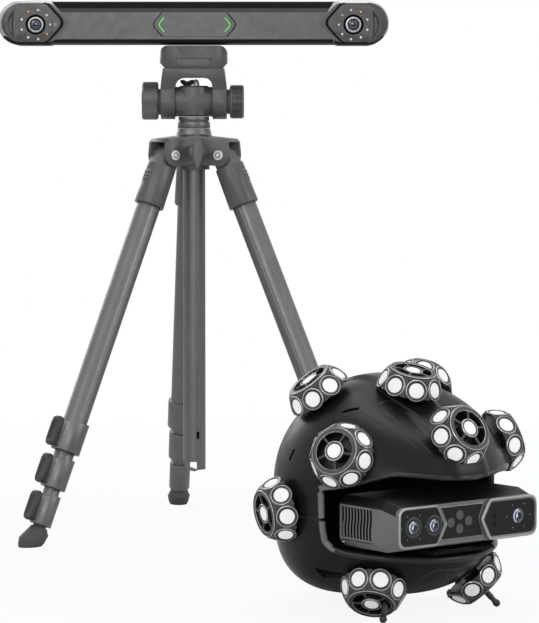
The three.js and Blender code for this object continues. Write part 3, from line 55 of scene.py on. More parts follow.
# Finishes; colours are linear, grain and edge width in metres
lookFields = ("base", "rough", "metal", "grain", "bump", "edge", "edgeWidth", "edgeShare", "cloud", "gloss")
looks = {
    # tripod and head
    "castPaint": ((0.086, 0.088, 0.092), 0.42, 0.15, 0.0007, 0.1, (0.3, 0.3, 0.31), 0.0009, 0.55, 0.16, 0.5),
    "leverPaint": ((0.105, 0.107, 0.111), 0.45, 0.1, 0.0007, 0.1, (0.36, 0.36, 0.37), 0.0008, 0.55, 0.12, 0.5),
    "tubeMetal": ((0.145, 0.147, 0.152), 0.42, 0.75, 0.0004, 0.008, (0.5, 0.5, 0.51), 0.0006, 0.25, 0.08, 0.5),
    "clampPlastic": ((0.022, 0.0225, 0.024), 0.5, 0.0, 0.0006, 0.16,
                     (0.24, 0.24, 0.25), 0.0009, 0.6, 0.15, 0.4),
    "bootRubber": ((0.058, 0.059, 0.061), 0.68, 0.0, 0.0009, 0.25, (0.16, 0.16, 0.165), 0.0012, 0.5, 0.2, 0.5),
    "ringSteel": ((0.12, 0.122, 0.125), 0.4, 0.9, 0.0003, 0.03, (0.8, 0.8, 0.8), 0.0006, 0.6, 0.06, 0.5),
    "brightSteel": ((0.75, 0.75, 0.76), 0.22, 0.85, 0.0003, 0.02, (1.0, 1.0, 1.0), 0.0005, 0.4, 0.04, 0.5),
    "pinWhite": ((0.72, 0.72, 0.73), 0.3, 0.2, 0.0003, 0.02, (0.9, 0.9, 0.9), 0.0004, 0.4, 0.05, 0.5),
    # tracker bar
    "barFace": ((0.076, 0.077, 0.08), 0.34, 0.3, 0.0004, 0.06, (0.3, 0.3, 0.31), 0.0006, 0.5, 0.07, 0.5),
    # lighter and darker copies of the housing's black: painted light on the upper chamfer, painted shade on the
    # upper flank and top
    "barEdge": ((0.017, 0.0173, 0.018), 0.36, 0.3, 0.0005, 0.05, (0.16, 0.16, 0.165), 0.0006, 0.5, 0.1, 0.5),
    "barTop": ((0.004, 0.004, 0.0043), 0.6, 0.0, 0.0005, 0.05, (0.1, 0.1, 0.105), 0.0008, 0.5, 0.08, 0.08),
    "barFlank": ((0.0085, 0.0086, 0.009), 0.42, 0.2, 0.0005, 0.05, (0.1, 0.1, 0.105), 0.0008, 0.5, 0.12, 0.15),
    "coverFace": ((0.06, 0.0605, 0.0625), 0.36, 0.25, 0.0004, 0.06, (0.26, 0.26, 0.27), 0.0006, 0.5, 0.07, 0.5),
    # pale trim round the lenses, and a painted highlight on the covers' rim
    "coverRim": ((0.42, 0.425, 0.43), 0.3, 0.7, 0.0004, 0.04, (0.8, 0.8, 0.8), 0.0006, 0.5, 0.06, 0.5),
    # painted shade for the ring groove round the lights
    "coverGrooveShade": ((0.052, 0.053, 0.055), 0.5, 0.0, 0.0005, 0.05, (0.08, 0.08, 0.08), 0.0004, 0.3, 0.1, 0.5),
    "coverSpot": ((0.19, 0.192, 0.196), 0.4, 0.1, 0.0004, 0.05, (0.26, 0.26, 0.27), 0.0004, 0.4, 0.08, 0.5),
    "lightPoint": ((0.72, 0.7, 0.55), 0.25, 0.0, 0.0003, 0.05, (0.95, 0.94, 0.88), 0.0004, 0.5, 0.2, 0.5),
    "lightWarm": ((0.6, 0.36, 0.24), 0.25, 0.0, 0.0003, 0.05, (0.9, 0.75, 0.6), 0.0004, 0.5, 0.2, 0.5),
    "rimShade": ((0.12, 0.121, 0.125), 0.35, 0.4, 0.0004, 0.03, (0.3, 0.3, 0.31), 0.0005, 0.5, 0.06, 0.5),
    "lensRing": ((0.022, 0.0222, 0.0235), 0.35, 0.1, 0.0003, 0.03, (0.12, 0.12, 0.125), 0.0004, 0.5, 0.08, 0.5),
    "lensBlack": ((0.01, 0.01, 0.011), 0.25, 0.1, 0.0003, 0.02, (0.08, 0.08, 0.085), 0.0004, 0.6, 0.08, 0.5),
    "lensPupil": ((0.002, 0.002, 0.004), 0.08, 0.0, 0.0003, 0.01, (0.02, 0.02, 0.03), 0.0003, 0.3, 0.1, 0.5),
    # a painted reflection on the lens domes
    "paintedGlint": ((0.62, 0.68, 0.9), 0.15, 0.0, 0.0003, 0.02, (0.9, 0.92, 1.0), 0.0003, 0.5, 0.35, 0.5),
    # ball and drums
    # the pale edge colours of the shell, lip, drum and bezel finishes paint highlights on folds and rims
    "shellBlack": ((0.0085, 0.0086, 0.009), 0.34, 0.0, 0.0008, 0.12,
                   (0.15, 0.15, 0.155), 0.0022, 0.55, 0.12, 0.17),
    # painted shade for the ball's inside, the cradle in it, the grille slits and the wells round the lenses
    "shellInside": ((0.006, 0.006, 0.0062), 0.75, 0.0, 0.0009, 0.1, (0.01, 0.01, 0.01), 0.0008, 0.3, 0.15, 0.1),
    "lipBlack": ((0.016, 0.0162, 0.0168), 0.3, 0.0, 0.0008, 0.08, (0.2, 0.2, 0.21), 0.002, 0.4, 0.1, 0.3),
    # a lighter copy of the lip's black: painted light on the lip's left end
    "lipLit": ((0.15, 0.151, 0.155), 0.32, 0.0, 0.0008, 0.08, (0.3, 0.3, 0.31), 0.002, 0.4, 0.1, 0.5),
    "drumPlastic": ((0.028, 0.0285, 0.0296), 0.34, 0.05, 0.0006, 0.08,
                    (0.46, 0.46, 0.47), 0.0007, 0.8, 0.12, 0.4),
    "drumDark": ((0.011, 0.011, 0.0115), 0.5, 0.0, 0.0006, 0.08, (0.04, 0.04, 0.04), 0.0005, 0.5, 0.12, 0.5),
    "bezelMetal": ((0.4, 0.402, 0.41), 0.3, 0.6, 0.0004, 0.03, (0.9, 0.9, 0.9), 0.0006, 0.7, 0.06, 0.5),
    # hand scanner
    "scannerCase": ((0.14, 0.141, 0.145), 0.4, 0.15, 0.0006, 0.08, (0.26, 0.26, 0.268), 0.0009, 0.7, 0.1, 0.5),
    # black of the wing screw, and painted shade on the scanner's upward faces under the shell's brow
    "lidBlack": ((0.0035, 0.0035, 0.0037), 0.5, 0.0, 0.0006, 0.06, (0.05, 0.05, 0.052), 0.0009, 0.5, 0.1, 0.2),
    "plateBlack": ((0.0085, 0.0086, 0.009), 0.35, 0.0, 0.0005, 0.02,
                   (0.1, 0.1, 0.104), 0.0006, 0.6, 0.08, 0.18),
    "frameMetal": ((0.36, 0.362, 0.37), 0.36, 0.45, 0.0004, 0.03, (0.6, 0.6, 0.61), 0.0005, 0.6, 0.05, 0.5),
    "keyRubber": ((0.06, 0.061, 0.063), 0.5, 0.0, 0.0004, 0.1, (0.16, 0.16, 0.165), 0.0006, 0.6, 0.12, 0.5),
    "keyRim": ((0.075, 0.076, 0.079), 0.5, 0.0, 0.0004, 0.05, (0.2, 0.2, 0.205), 0.0004, 0.5, 0.1, 0.5),
    # black of seams and gaps, and painted shade standing in for grooves and steps
    "seamBlackAndGrooveShade": ((0.006, 0.006, 0.0065), 0.6, 0.0, 0.0005, 0.05, (0.02, 0.02, 0.02), 0.0005, 0.3, 0.1, 0.1),
}


def feed(tree, node, sockets):  # a link, a colour or a number for each socket of the node
    for name, value in sockets.items():
        if hasattr(value, "is_output"):
            tree.links.new(value, node.inputs[name])
        else:
            node.inputs[name].default_value = (*value, 1) if isinstance(value, tuple) else value


def addNode(tree, kind, output, sockets=None, **settings):  # gives the output that the next node takes
    node = tree.nodes.new(kind)
    for name, value in settings.items():
        setattr(node, name, value)
    feed(tree, node, sockets or {})
    return node.outputs[output]


# How large the patches of a finish are in metres, and how far its values swing
patch = {"cloud": 0.035, "wearAndSheen": 0.006, "rough": 0.012, "roughSwing": 0.06, "bumpHeight": 0.0003,
         "noiseLow": 0.25, "noiseHigh": 0.75, "edgeStart": 0.97, "edgeFull": 0.86}


def noiseAt(tree, coords, size, detail=3.0):
    return addNode(tree, "ShaderNodeTexNoise", "Fac", {"Scale": 1 / size, "Detail": detail, "Vector": coords})


def spread(tree, value, low, high):  # the noise's usual span, stretched from low to high
    span = {"From Min": patch["noiseLow"], "From Max": patch["noiseHigh"], "To Min": low, "To Max": high}
    return addNode(tree, "ShaderNodeMapRange", "Result", {**span, "Value": value})


def blended(tree, share, first, second):
    return addNode(tree, "ShaderNodeMix", "Result", {"Factor": share, "A": first, "B": second}, data_type="RGBA")


def edgeMask(tree, softNormal):  # where a softened edge turns away from the flat face
    flat = addNode(tree, "ShaderNodeNewGeometry", "Normal")
    turn = addNode(tree, "ShaderNodeVectorMath", "Value", {0: softNormal, 1: flat}, operation="DOT_PRODUCT")
    span = {"From Min": patch["edgeStart"], "From Max": patch["edgeFull"], "Value": turn}
    return addNode(tree, "ShaderNodeMapRange", "Result", span)


def blankMaterial(name):
    material = bpy.data.materials.new(name)
    material.use_nodes = True
    tree = material.node_tree
    return material, tree, tree.nodes["Principled BSDF"], addNode(tree, "ShaderNodeTexCoord", "Object")


def makeFinish(name, look):  # cloudy colour, paler edges that are partly scuffed paint and partly painted highlight, patchy gloss and a fine grain
    material, tree, shader, coords = blankMaterial(name)
    soft = addNode(tree, "ShaderNodeBevel", "Normal", {"Radius": look["edgeWidth"]}, samples=4)
    cloud = spread(tree, noiseAt(tree, coords, patch["cloud"]), 0, 1)
    base = Vector(look["base"])
    colour = blended(tree, cloud, tuple(base * (1 - look["cloud"])), tuple(base * (1 + look["cloud"])))
    # the paler edge colour is scuffed paint on the castings and a painted highlight on rims and folds, such as the
    # drums' and the shell's
    wearAndSheenShare = spread(tree, noiseAt(tree, coords, patch["wearAndSheen"]), look["edgeShare"] * 0.5, look["edgeShare"])
    wearAndSheen = addNode(tree, "ShaderNodeMath", "Value", {0: edgeMask(tree, soft), 1: wearAndSheenShare}, operation="MULTIPLY")
    rough, swing = look["rough"], patch["roughSwing"]
    grain = {"Strength": look["bump"], "Distance": patch["bumpHeight"],
             "Height": noiseAt(tree, coords, look["grain"], 2), "Normal": soft}
    feed(tree, shader, {
        "Base Color": blended(tree, wearAndSheen, colour, look["edge"]),
        "Roughness": spread(tree, noiseAt(tree, coords, patch["rough"], 5), rough - swing, rough + swing),
        "Metallic": look["metal"], "Specular IOR Level": look["gloss"],
        "Normal": addNode(tree, "ShaderNodeBump", "Normal", grain),
    })
    return material


# the glow is painted light standing in for what the beaded film throws back
markerFilm = {"dark": (0.86, 0.86, 0.87), "pale": (0.93, 0.93, 0.93), "cloud": 0.004, "glow": 0.18,
              "beads": 2200, "bump": 0.08, "bumpHeight": 0.0002, "roughLow": 0.5, "roughHigh": 0.65}


def makeMarkerWhite():  # beaded film of the marker discs; its faint glow is painted light for the flash the film throws back
    material, tree, shader, coords = blankMaterial("markerWhite")
    cloud = spread(tree, noiseAt(tree, coords, markerFilm["cloud"]), 0, 1)
    beads = addNode(tree, "ShaderNodeTexVoronoi", "Distance", {"Scale": markerFilm["beads"], "Vector": coords})
    relief = {"Strength": markerFilm["bump"], "Distance": markerFilm["bumpHeight"], "Height": beads}
    feed(tree, shader, {
        "Base Color": blended(tree, cloud, markerFilm["dark"], markerFilm["pale"]),
        "Roughness": spread(tree, beads, markerFilm["roughLow"], markerFilm["roughHigh"]),
        "Normal": addNode(tree, "ShaderNodeBump", "Normal", relief),
        "Emission Color": (1, 1, 1), "Emission Strength": markerFilm["glow"],
    })
    return material


greenMark = {"dark": (0.06, 0.52, 0.05), "pale": (0.10, 0.66, 0.08), "cloud": 0.003, "rough": 0.35,
             "light": (0.08, 0.62, 0.07), "glow": 0.35}


def makeGreenLight():
    material, tree, shader, coords = blankMaterial("greenLight")
    cloud = spread(tree, noiseAt(tree, coords, greenMark["cloud"]), 0, 1)
    feed(tree, shader, {
        "Base Color": blended(tree, cloud, greenMark["dark"], greenMark["pale"]), "Roughness": greenMark["rough"],
        "Emission Color": greenMark["light"], "Emission Strength": greenMark["glow"],
    })
    return material


coating = {"dark": (0.020, 0.022, 0.036), "pale": (0.045, 0.052, 0.10), "cloud": 0.006, "rough": 0.06,
           "weight": 0.6, "coatRough": 0.03}


def makeCoatedGlass():  # dark glass under a clear coat, slightly blue in soft patches
    material, tree, shader, coords = blankMaterial("coatedGlass")
    cloud = spread(tree, noiseAt(tree, coords, coating["cloud"], 1), 0, 1)
    feed(tree, shader, {
        "Base Color": blended(tree, cloud, coating["dark"], coating["pale"]), "Roughness": coating["rough"],
        "Coat Weight": coating["weight"], "Coat Roughness": coating["coatRough"],
    })
    return material


finishes = {name: makeFinish(name, dict(zip(lookFields, row))) for name, row in looks.items()}
finishes["markerWhite"] = makeMarkerWhite()
finishes["greenLight"] = makeGreenLight()
finishes["coatedGlass"] = makeCoatedGlass()
print("finishes made:", len(finishes))


def newObject(name, points, faces):
    mesh = bpy.data.meshes.new(name)
    mesh.from_pydata([tuple(p) for p in points], [], faces)
    made = bpy.data.objects.new(name, mesh)
    bpy.context.scene.collection.objects.link(made)
    return made


def straightened(mesh, reach=0):  # normals outward, and points within reach of each other made one
    shape = bmesh.new()
    shape.from_mesh(mesh)
    if reach:
        bmesh.ops.remove_doubles(shape, verts=shape.verts, dist=reach)
    bmesh.ops.recalc_face_normals(shape, faces=shape.faces)
    shape.to_mesh(mesh)
    shape.free()


mergeReach = 1e-6


# A sketch gathers closed forms, each with its finish, and becomes one piece
class Sketch:
    def __init__(self):
        self.points = []
        self.faces = []
        self.marks = []
        self.names = []

    def mark(self, finish):
        if finish not in self.names:
            self.names.append(finish)
        return self.names.index(finish)

    def add(self, form, finish, place):
        points, faces, *own = form
        start = len(self.points)
        self.points += [place @ p for p in points]
        for face, name in zip(faces, own[0] if own else [None] * len(faces)):
            self.faces.append([start + i for i in face])
            self.marks.append(self.mark(name or finish))

    def build(self, name, body, replaced, smooth=35):
        piece = newObject(name, self.points, self.faces)
        mesh = piece.data
        for finish in self.names:
            mesh.materials.append(finishes[finish])
        for polygon, mark in zip(mesh.polygons, self.marks):
            polygon.material_index = mark
        straightened(mesh, mergeReach)
        for polygon in mesh.polygons:
            polygon.use_smooth = True
        piece.modifiers.new("smoothing", "NODES").node_group = smoothingNodes(smooth)
        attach(piece, body)
        if replaced:
            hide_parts(*replaced)


def smoothingNodes(angle):  # smooth faces, sharp where two faces meet at more than the angle
    name = "smoothing" + str(angle)
    if name in bpy.data.node_groups:
        return bpy.data.node_groups[name]
    group = bpy.data.node_groups.new(name, "GeometryNodeTree")
    for way in ("INPUT", "OUTPUT"):
        group.interface.new_socket("Geometry", in_out=way, socket_type="NodeSocketGeometry")
    start = addNode(group, "NodeGroupInput", 0)
    bend = addNode(group, "GeometryNodeInputMeshEdgeAngle", "Unsigned Angle")
    sharp = addNode(group, "FunctionNodeCompare", "Result", {"A": bend, "B": radians(angle)})
    faces = addNode(group, "GeometryNodeSetShadeSmooth", "Geometry", {"Geometry": start})
    crisp = {"Geometry": faces, "Selection": sharp, "Shade Smooth": False}
    edges = addNode(group, "GeometryNodeSetShadeSmooth", "Geometry", crisp, domain="EDGE")
    feed(group, group.nodes.new("NodeGroupOutput"), {0: edges})
    return group


# Turned form round +Z: the profile is a list of (radius, height), a finish may follow for the next band
def turned(profile, sides=48):
    points, faces, own, rows = [], [], [], []
    for radius, height, *rest in profile:
        if radius == 0:
            rows.append([len(points)])
            points.append(Vector((0, 0, height)))
            continue
        rows.append([len(points) + i for i in range(sides)])
        points += [Vector((radius * cos(2 * pi * i / sides),
                           radius * sin(2 * pi * i / sides), height)) for i in range(sides)]
    for band in range(len(rows) - 1):
        low, high = rows[band], rows[band + 1]
        finish = profile[band][2] if len(profile[band]) > 2 else None
        for i in range(sides):
            j = (i + 1) % sides
            face = [low[i % len(low)], low[j % len(low)], high[j % len(high)], high[i % len(high)]]
            faces.append(list(dict.fromkeys(face)))
            own.append(finish)
    return points, faces, own


# A skin over rings of equal count, closed by a face at both ends; one finish per band and then
# one for each end may be named
def lofted(rings, closed=True, bands=()):
    count = len(rings[0])
    points = [Vector(p) for ring in rings for p in ring]
    faces, own = [], []
    named = list(bands) + [None] * (len(rings) + 1)
    for band in range(len(rings) - 1):
        for i in range(count):
            j = (i + 1) % count
            a, b = band * count + i, band * count + j
            faces.append([a, b, b + count, a + count])
            own.append(named[band])
    if closed:
        faces.append(list(range(count))[::-1])
        faces.append([(len(rings) - 1) * count + i for i in range(count)])
        own += named[len(rings) - 1:len(rings) + 1]
    return points, faces, own


# A flat outline in the XZ plane given a depth along +Y, its front edge bevelled
def fronted(outline, depth, bevel, y):
    steps = ((bevel, y), (0, y + bevel), (0, y + depth))
    return lofted([[(x, at, z) for x, z in insetOutline(outline, inset)] for inset, at in steps])


def insetOutline(outline, inset):
    if not inset:
        return outline
    count, moved = len(outline), []
    area = sum(outline[i][0] * outline[(i + 1) % count][1] - outline[(i + 1) % count][0] * outline[i][1]
               for i in range(count))
    sign = 1 if area > 0 else -1
    for i in range(count):
        before, here, after = (Vector(outline[(i + k) % count]) for k in (-1, 0, 1))
        first, second = (here - before).normalized(), (after - here).normalized()
        inward = Vector((-first.y - second.y, first.x + second.x)) * sign
        length = max(inward.length_squared / 2, 0.2)
        moved.append(tuple(here + inward * inset / length))
    return moved


def roundedOutline(width, height, radius, steps, x, z):
    outline = []
    for quarter, (sx, sz) in enumerate(((1, -1), (1, 1), (-1, 1), (-1, -1))):
        for i in range(steps + 1):
            angle = pi / 2 * (quarter - 1 + i / steps)
            outline.append((x + sx * (width / 2 - radius) + radius * cos(angle),
                            z + sz * (height / 2 - radius) + radius * sin(angle)))
    return outline


# A round bead along a path of points, with its radius at each
def beaded(path, sizes, sides, closed=False):
    count = len(path)
    rings = []
    for i, point in enumerate(path):
        before = path[(i - 1) % count] if closed or i else path[0]
        after = path[(i + 1) % count] if closed or i + 1 < count else path[-1]
        along = (Vector(after) - Vector(before)).normalized()
        side = along.cross(Vector((0, 0, 1))) if abs(along.z) < 0.95 else along.cross(Vector((1, 0, 0)))
        side.normalize()
        up = side.cross(along)
        size = sizes[i]
        rings.append([Vector(point) + side * size * cos(2 * pi * k / sides)
                      + up * size * sin(2 * pi * k / sides) for k in range(sides)])
    return lofted(rings + [rings[0]], False) if closed else lofted(rings)


# A flat band along a path in the XZ plane, its front at a depth; the width may change along it
def ribbon(path, width, y, thick=0.8, closed=False):
    count, rings = len(path), []
    for i, point in enumerate(path):
        here = Vector(point)
        before = Vector(path[(i - 1) % count]) if closed or i else here
        after = Vector(path[(i + 1) % count]) if closed or i + 1 < count else here
        along = (after - before).normalized()
        half = Vector((-along.y, along.x)) * (width[i] if isinstance(width, list) else width) / 2
        rings.append([Vector(((here + half * side).x, y + deep, (here + half * side).y))
                      for side, deep in ((-1, 0), (1, 0), (1, thick), (-1, thick))])
    return lofted(rings + [rings[0]], False) if closed else lofted(rings)


# A path or outline with its corners rounded; sizes give the length taken from each side of a corner
def rounded(points, sizes, closed=True, steps=6):
    count, path = len(points), []
    for i, (point, size) in enumerate(zip(points, sizes)):
        here = Vector(point)
        if not size or (not closed and i in (0, count - 1)):
            path.append(tuple(here))
            continue
        before, after = Vector(points[i - 1]), Vector(points[(i + 1) % count])
        start = here + (before - here).normalized() * size
        end = here + (after - here).normalized() * size
        for k in range(steps + 1):
            t = k / steps
            path.append(tuple(start * (1 - t) ** 2 + here * 2 * t * (1 - t) + end * t ** 2))
    return path


def circle(radius, x, z, sides=48):
    return [(x + radius * cos(2 * pi * i / sides), z + radius * sin(2 * pi * i / sides))
            for i in range(sides)]


def mirroredForm(form):
    points, faces, *own = form
    return [Vector((-p.x, p.y, p.z)) for p in points], [face[::-1] for face in faces], *own


# Cuts closed forms out of another and keeps what lies inside the last
def carved(form, cuts, kept=None):
    tools = []

    def loose(parts):
        tools.append(newObject("blank", parts[0], parts[1]))
        straightened(tools[-1].data)
        return tools[-1]

    body = loose(form)
    for cutter, action in [(cut, "DIFFERENCE") for cut in cuts] + ([(kept, "INTERSECT")] if kept else []):
        change = body.modifiers.new("cut", "BOOLEAN")
        change.operation = action
        change.solver = "EXACT"
        change.object = loose(cutter)
    graph = bpy.context.evaluated_depsgraph_get()
    done = bpy.data.meshes.new_from_object(body.evaluated_get(graph))
    points = [vertex.co.copy() for vertex in done.vertices]
    faces = [list(polygon.vertices) for polygon in done.polygons]
    for tool in tools:
        mesh = tool.data
        bpy.data.objects.remove(tool)
        bpy.data.meshes.remove(mesh)
    bpy.data.meshes.remove(done)
    return points, faces


def facing(direction, at):  # a place whose +Z looks along the direction
    turn = Vector((0, 0, 1)).rotation_difference(direction)
    return Matrix.Translation(at) @ turn.to_matrix().to_4x4()


def frontward(x, y, z):  # a place whose +Z looks out of the front
    return Matrix.Translation((x, y, z)) @ Matrix.Rotation(pi / 2, 4, "X")


def placed(form, place):
    points, *others = form
    return [place @ p for p in points], *others


def middleOf(points, face):
    return sum((points[i] for i in face), Vector()) / len(face)


# CAD nodes that stay: welded, edges rounded, smooth; metres, then degrees
dressing = {"weld": 0.00002, "flat": 1, "edgeFrom": 38, "smooth": 35}


def dressNode(name, finish, bevel):
    node = nodes[name]
    node.modifiers.new("weld", "WELD").merge_threshold = dressing["weld"]
    if bevel:
        flat = node.modifiers.new("flat", "DECIMATE")
        flat.decimate_type = "DISSOLVE"
        flat.angle_limit = radians(dressing["flat"])
        rounding = node.modifiers.new("rounding", "BEVEL")
        rounding.width = bevel * mm
        rounding.segments = 2
        rounding.limit_method = "ANGLE"
        rounding.angle_limit = radians(dressing["edgeFrom"])
        rounding.use_clamp_overlap = True
    node.modifiers.new("smoothing", "NODES").node_group = smoothingNodes(dressing["smooth"])
    if not node.material_slots:
        node.data.materials.append(finishes[finish])
    for slot in node.material_slots:
        slot.link = "OBJECT"
        slot.material = finishes[finish]


# Camera and light
studio = {
    "cameraEast": 104.3, "cameraSouth": 4000, "cameraHeight": 576,   # mm from the tripod's column
    "horizonRow": 115, "frameHeight": 623, "focalPixels": 2892, "sensor": 36.0,
}


def makeCamera():
    data = bpy.data.cameras.new("camera")
    data.sensor_width = studio["sensor"]
    data.lens = studio["focalPixels"] / studio["frameHeight"] * studio["sensor"]
    camera = bpy.data.objects.new("camera", data)
    bpy.context.scene.collection.objects.link(camera)
    down = atan((studio["frameHeight"] / 2 - studio["horizonRow"]) / studio["focalPixels"])
    away = Vector((studio["cameraEast"], -studio["cameraSouth"], studio["cameraHeight"])) * mm
    camera.location = columnAxis + away
    camera.rotation_euler = (pi / 2 - down, 0, 0)
    bpy.context.scene.camera = camera


lampAim = Vector((0, 0, 0.35))
lamps = {
    "key": {"place": (-1.9, -2.5, 2.3), "size": 1.5, "power": 25},
    "front": {"place": (-0.3, -4.0, 1.35), "size": 0.8, "power": 25},
    "side": {"place": (2.4, -1.0, 1.3), "size": 1.2, "power": 18},
    "top": {"place": (0.2, 0.3, 2.9), "size": 2.0, "power": 26},
    "back": {"place": (-1.2, 2.2, 1.4), "size": 1.4, "power": 16},
}


def makeLamps():
    for name, lamp in lamps.items():
        data = bpy.data.lights.new(name, "AREA")
        data.shape = "SQUARE"
        data.size = lamp["size"]
        data.energy = lamp["power"]
        light = bpy.data.objects.new(name, data)
        light.location = lamp["place"]
        light.rotation_mode = "QUATERNION"
        light.rotation_quaternion = (lampAim - light.location).to_track_quat("-Z", "Y")
        bpy.context.scene.collection.objects.link(light)


backdrop = {"floorSize": 90, "floorColour": (0.88, 0.88, 0.88), "floorRough": 0.85, "floorDrop": 0.0002,
            "worldLevel": 0.3, "nearShare": 0.90, "near": 0.7, "far": 1.8}


def seenBy(tree, *rays):  # 1 for these kinds of ray, 0 for the others
    path = tree.nodes.new("ShaderNodeLightPath")
    seen = path.outputs[rays[0]]
    for ray in rays[1:]:
        seen = addNode(tree, "ShaderNodeMath", "Value", {0: seen, 1: path.outputs[ray]}, operation="MAXIMUM")
    return seen


def mixedShader(tree, share, first, second, output):
    mix = addNode(tree, "ShaderNodeMixShader", "Shader", {"Fac": share, 1: first, 2: second})
    feed(tree, tree.nodes[output], {"Surface": mix})


def makeFloor():  # white to the camera away from the object, and paper that takes a shadow under it
    half = backdrop["floorSize"] / 2
    corners = [(-half, -half, 0), (half, -half, 0), (half, half, 0), (-half, half, 0)]
    floor = newObject("floor", corners, [(0, 1, 2, 3)])
    floor.location.z = -backdrop["floorDrop"]
    material, tree, shader, coords = blankMaterial("floorPaper")
    feed(tree, shader, {"Base Color": backdrop["floorColour"], "Roughness": backdrop["floorRough"]})
    away = addNode(tree, "ShaderNodeVectorMath", "Value", {0: coords}, operation="LENGTH")
    span = {"From Min": backdrop["near"], "From Max": backdrop["far"], "To Min": backdrop["nearShare"]}
    fade = addNode(tree, "ShaderNodeMapRange", "Result", {**span, "Value": away})
    seen = seenBy(tree, "Is Camera Ray", "Is Transmission Ray")
    share = addNode(tree, "ShaderNodeMath", "Value", {0: seen, 1: fade}, operation="MULTIPLY")
    bright = addNode(tree, "ShaderNodeEmission", "Emission")
    mixedShader(tree, share, shader.outputs["BSDF"], bright, "Material Output")
    floor.data.materials.append(material)


def makeWorld():  # plain white behind the object, at a lower level as light on it
    world = bpy.data.worlds.new("studioWorld")
    world.use_nodes = True
    tree = world.node_tree
    light = tree.nodes["Background"]
    feed(tree, light, {"Color": (1, 1, 1), "Strength": backdrop["worldLevel"]})
    white = addNode(tree, "ShaderNodeBackground", "Background", {"Color": (1, 1, 1), "Strength": 1.0})
    seen = seenBy(tree, "Is Camera Ray", "Is Glossy Ray", "Is Transmission Ray")
    mixedShader(tree, seen, light.outputs["Background"], white, "World Output")
    bpy.context.scene.world = world
    bpy.context.scene.view_settings.view_transform = "Standard"


makeCamera()
makeLamps()
makeFloor()
makeWorld()
print("studio ready")


# Tripod and head: the CAD pieces stay, with rounded edges
tripodFinishes = {
    "leg_crown": "castPaint", "centre_column": "tubeMetal", "column_lever": "leverPaint",
    "pan_base": "ringSteel", "tilt_body": "castPaint", "tilt_fork": "castPaint", "tilt_knob": "leverPaint",
    "pan_knob": "leverPaint", "quick_release": "castPaint", "release_button": "castPaint",
    # the cradle inside the ball takes painted shade
    "grip_cradle": "shellInside",
}
crispNodes = {"centre_column": 0, "pan_knob": 0.12, "tilt_knob": 0.3}   # rounding in mm, 0.5 on the others


def dressTripod():
    for name, finish in tripodFinishes.items():
        dressNode(name, finish, crispNodes.get(name, 0.5))
    for leg in ("left", "right", "rear"):
        dressNode(leg + "_leg_shoulder", "castPaint", 0.8)
        for k in (1, 2, 3):
            dressNode(f"{leg}_leg_section_{k}", "tubeMetal", 0.4)
            dressNode(f"{leg}_leg_lever_{k}", "clampPlastic", 0.5)
        dressNode(leg + "_leg_section_4", "bootRubber", 0.6)


pinCap = {"hinge": 47, "height": 521, "side": 21.8, "first": 216.6, "radius": 6.7, "hex": 3.0, "thick": 1.6}


def makePinCaps():  # bright washers and screw heads on the hinge pins
    sketch = Sketch()
    for k in range(3):
        heading = radians(pinCap["first"] + 120 * k)
        out = Vector((cos(heading), sin(heading), 0))
        for side in (-1, 1):
            across = Vector((-out.y, out.x, 0)) * side
            upright = Vector((0, 0, pinCap["height"]))
            at = columnAxis + (out * pinCap["hinge"] + across * pinCap["side"] + upright) * mm
            place = facing(across, at) @ Matrix.Scale(mm, 4)
            radius, thick = pinCap["radius"], pinCap["thick"]
            washer = turned([(0, 0), (radius, 0), (radius, thick * 1.4), (radius - 0.6, thick * 1.9),
                             (radius - 2.6, thick * 1.9, "rimShade"), (radius - 3, thick * 1.2, "rimShade"),
                             (0, thick * 1.2)], 32)
            sketch.add(washer, "pinWhite", place)
            screw = turned([(0, thick), (pinCap["hex"], thick), (pinCap["hex"], thick * 2.2), (0, thick * 2.2)], 6)
            sketch.add(screw, "brightSteel", place)
    sketch.build("hinge_pin_caps", "base", ())


wing = {"x": -9, "low": 20, "high": 30.2, "half": 9.5, "thick": 3.2, "cap": (12, 2, 0)}


def makeWingScrew():  # dark wing screw over the tilt axis, a pale cap beside it
    sketch = Sketch()
    base = columnAxis + Vector((wing["x"], 0, tiltLevel)) * mm
    place = Matrix.Translation(base) @ Matrix.Scale(mm, 4)
    low, high, half = wing["low"], wing["high"], wing["half"]
    corners = [(-4, low), (4, low), (6, low + 3), (half, high - 4), (half, high), (half - 5, high),
               (0, low + 7.5), (5 - half, high), (-half, high), (-half, high - 4), (-6, low + 3)]
    outline = rounded(corners, [0.5, 0.5, 1, 1.5, 1.5, 1.5, 2, 1.5, 1.5, 1.5, 1], True, 3)
    sketch.add(fronted(outline, wing["thick"], 0.5, -wing["thick"] / 2), "lidBlack", place)
    cap = turned([(0, low), (4.6, low), (4.6, low + 6), (3.4, low + 9), (1.6, low + 10.6), (0, low + 11)], 24)
    sketch.add(cap, "pinWhite", place @ Matrix.Translation(wing["cap"]))
    sketch.build("wing_screw", "pan", ())


knurl = {"rings": 8, "start": 3.2, "pitch": 1.75, "size": 0.35, "sunk": 0.25}


def makeKnurl():  # fine dark beads round the right knob, painted shade for its grooves
    sketch = Sketch()
    radius = (knobHigh.z - knobLow.z) / 2 / mm - knurl["sunk"]
    place = (Matrix.Translation((knobHigh.x, (knobLow.y + knobHigh.y) / 2, tiltLevel * mm))
             @ Matrix.Rotation(-pi / 2, 4, "Y") @ Matrix.Scale(mm, 4))
    for k in range(knurl["rings"]):
        height = knurl["start"] + k * knurl["pitch"]
        ring = [Vector((x, y, height)) for x, y in circle(radius, 0, 0)]
        sketch.add(beaded(ring, [knurl["size"]] * len(ring), 6, True), "seamBlackAndGrooveShade", place)
    sketch.build("knob_grooves", "pan_knob", ())


dressTripod()
makePinCaps()
makeWingScrew()
makeKnurl()
print("tripod dressed")


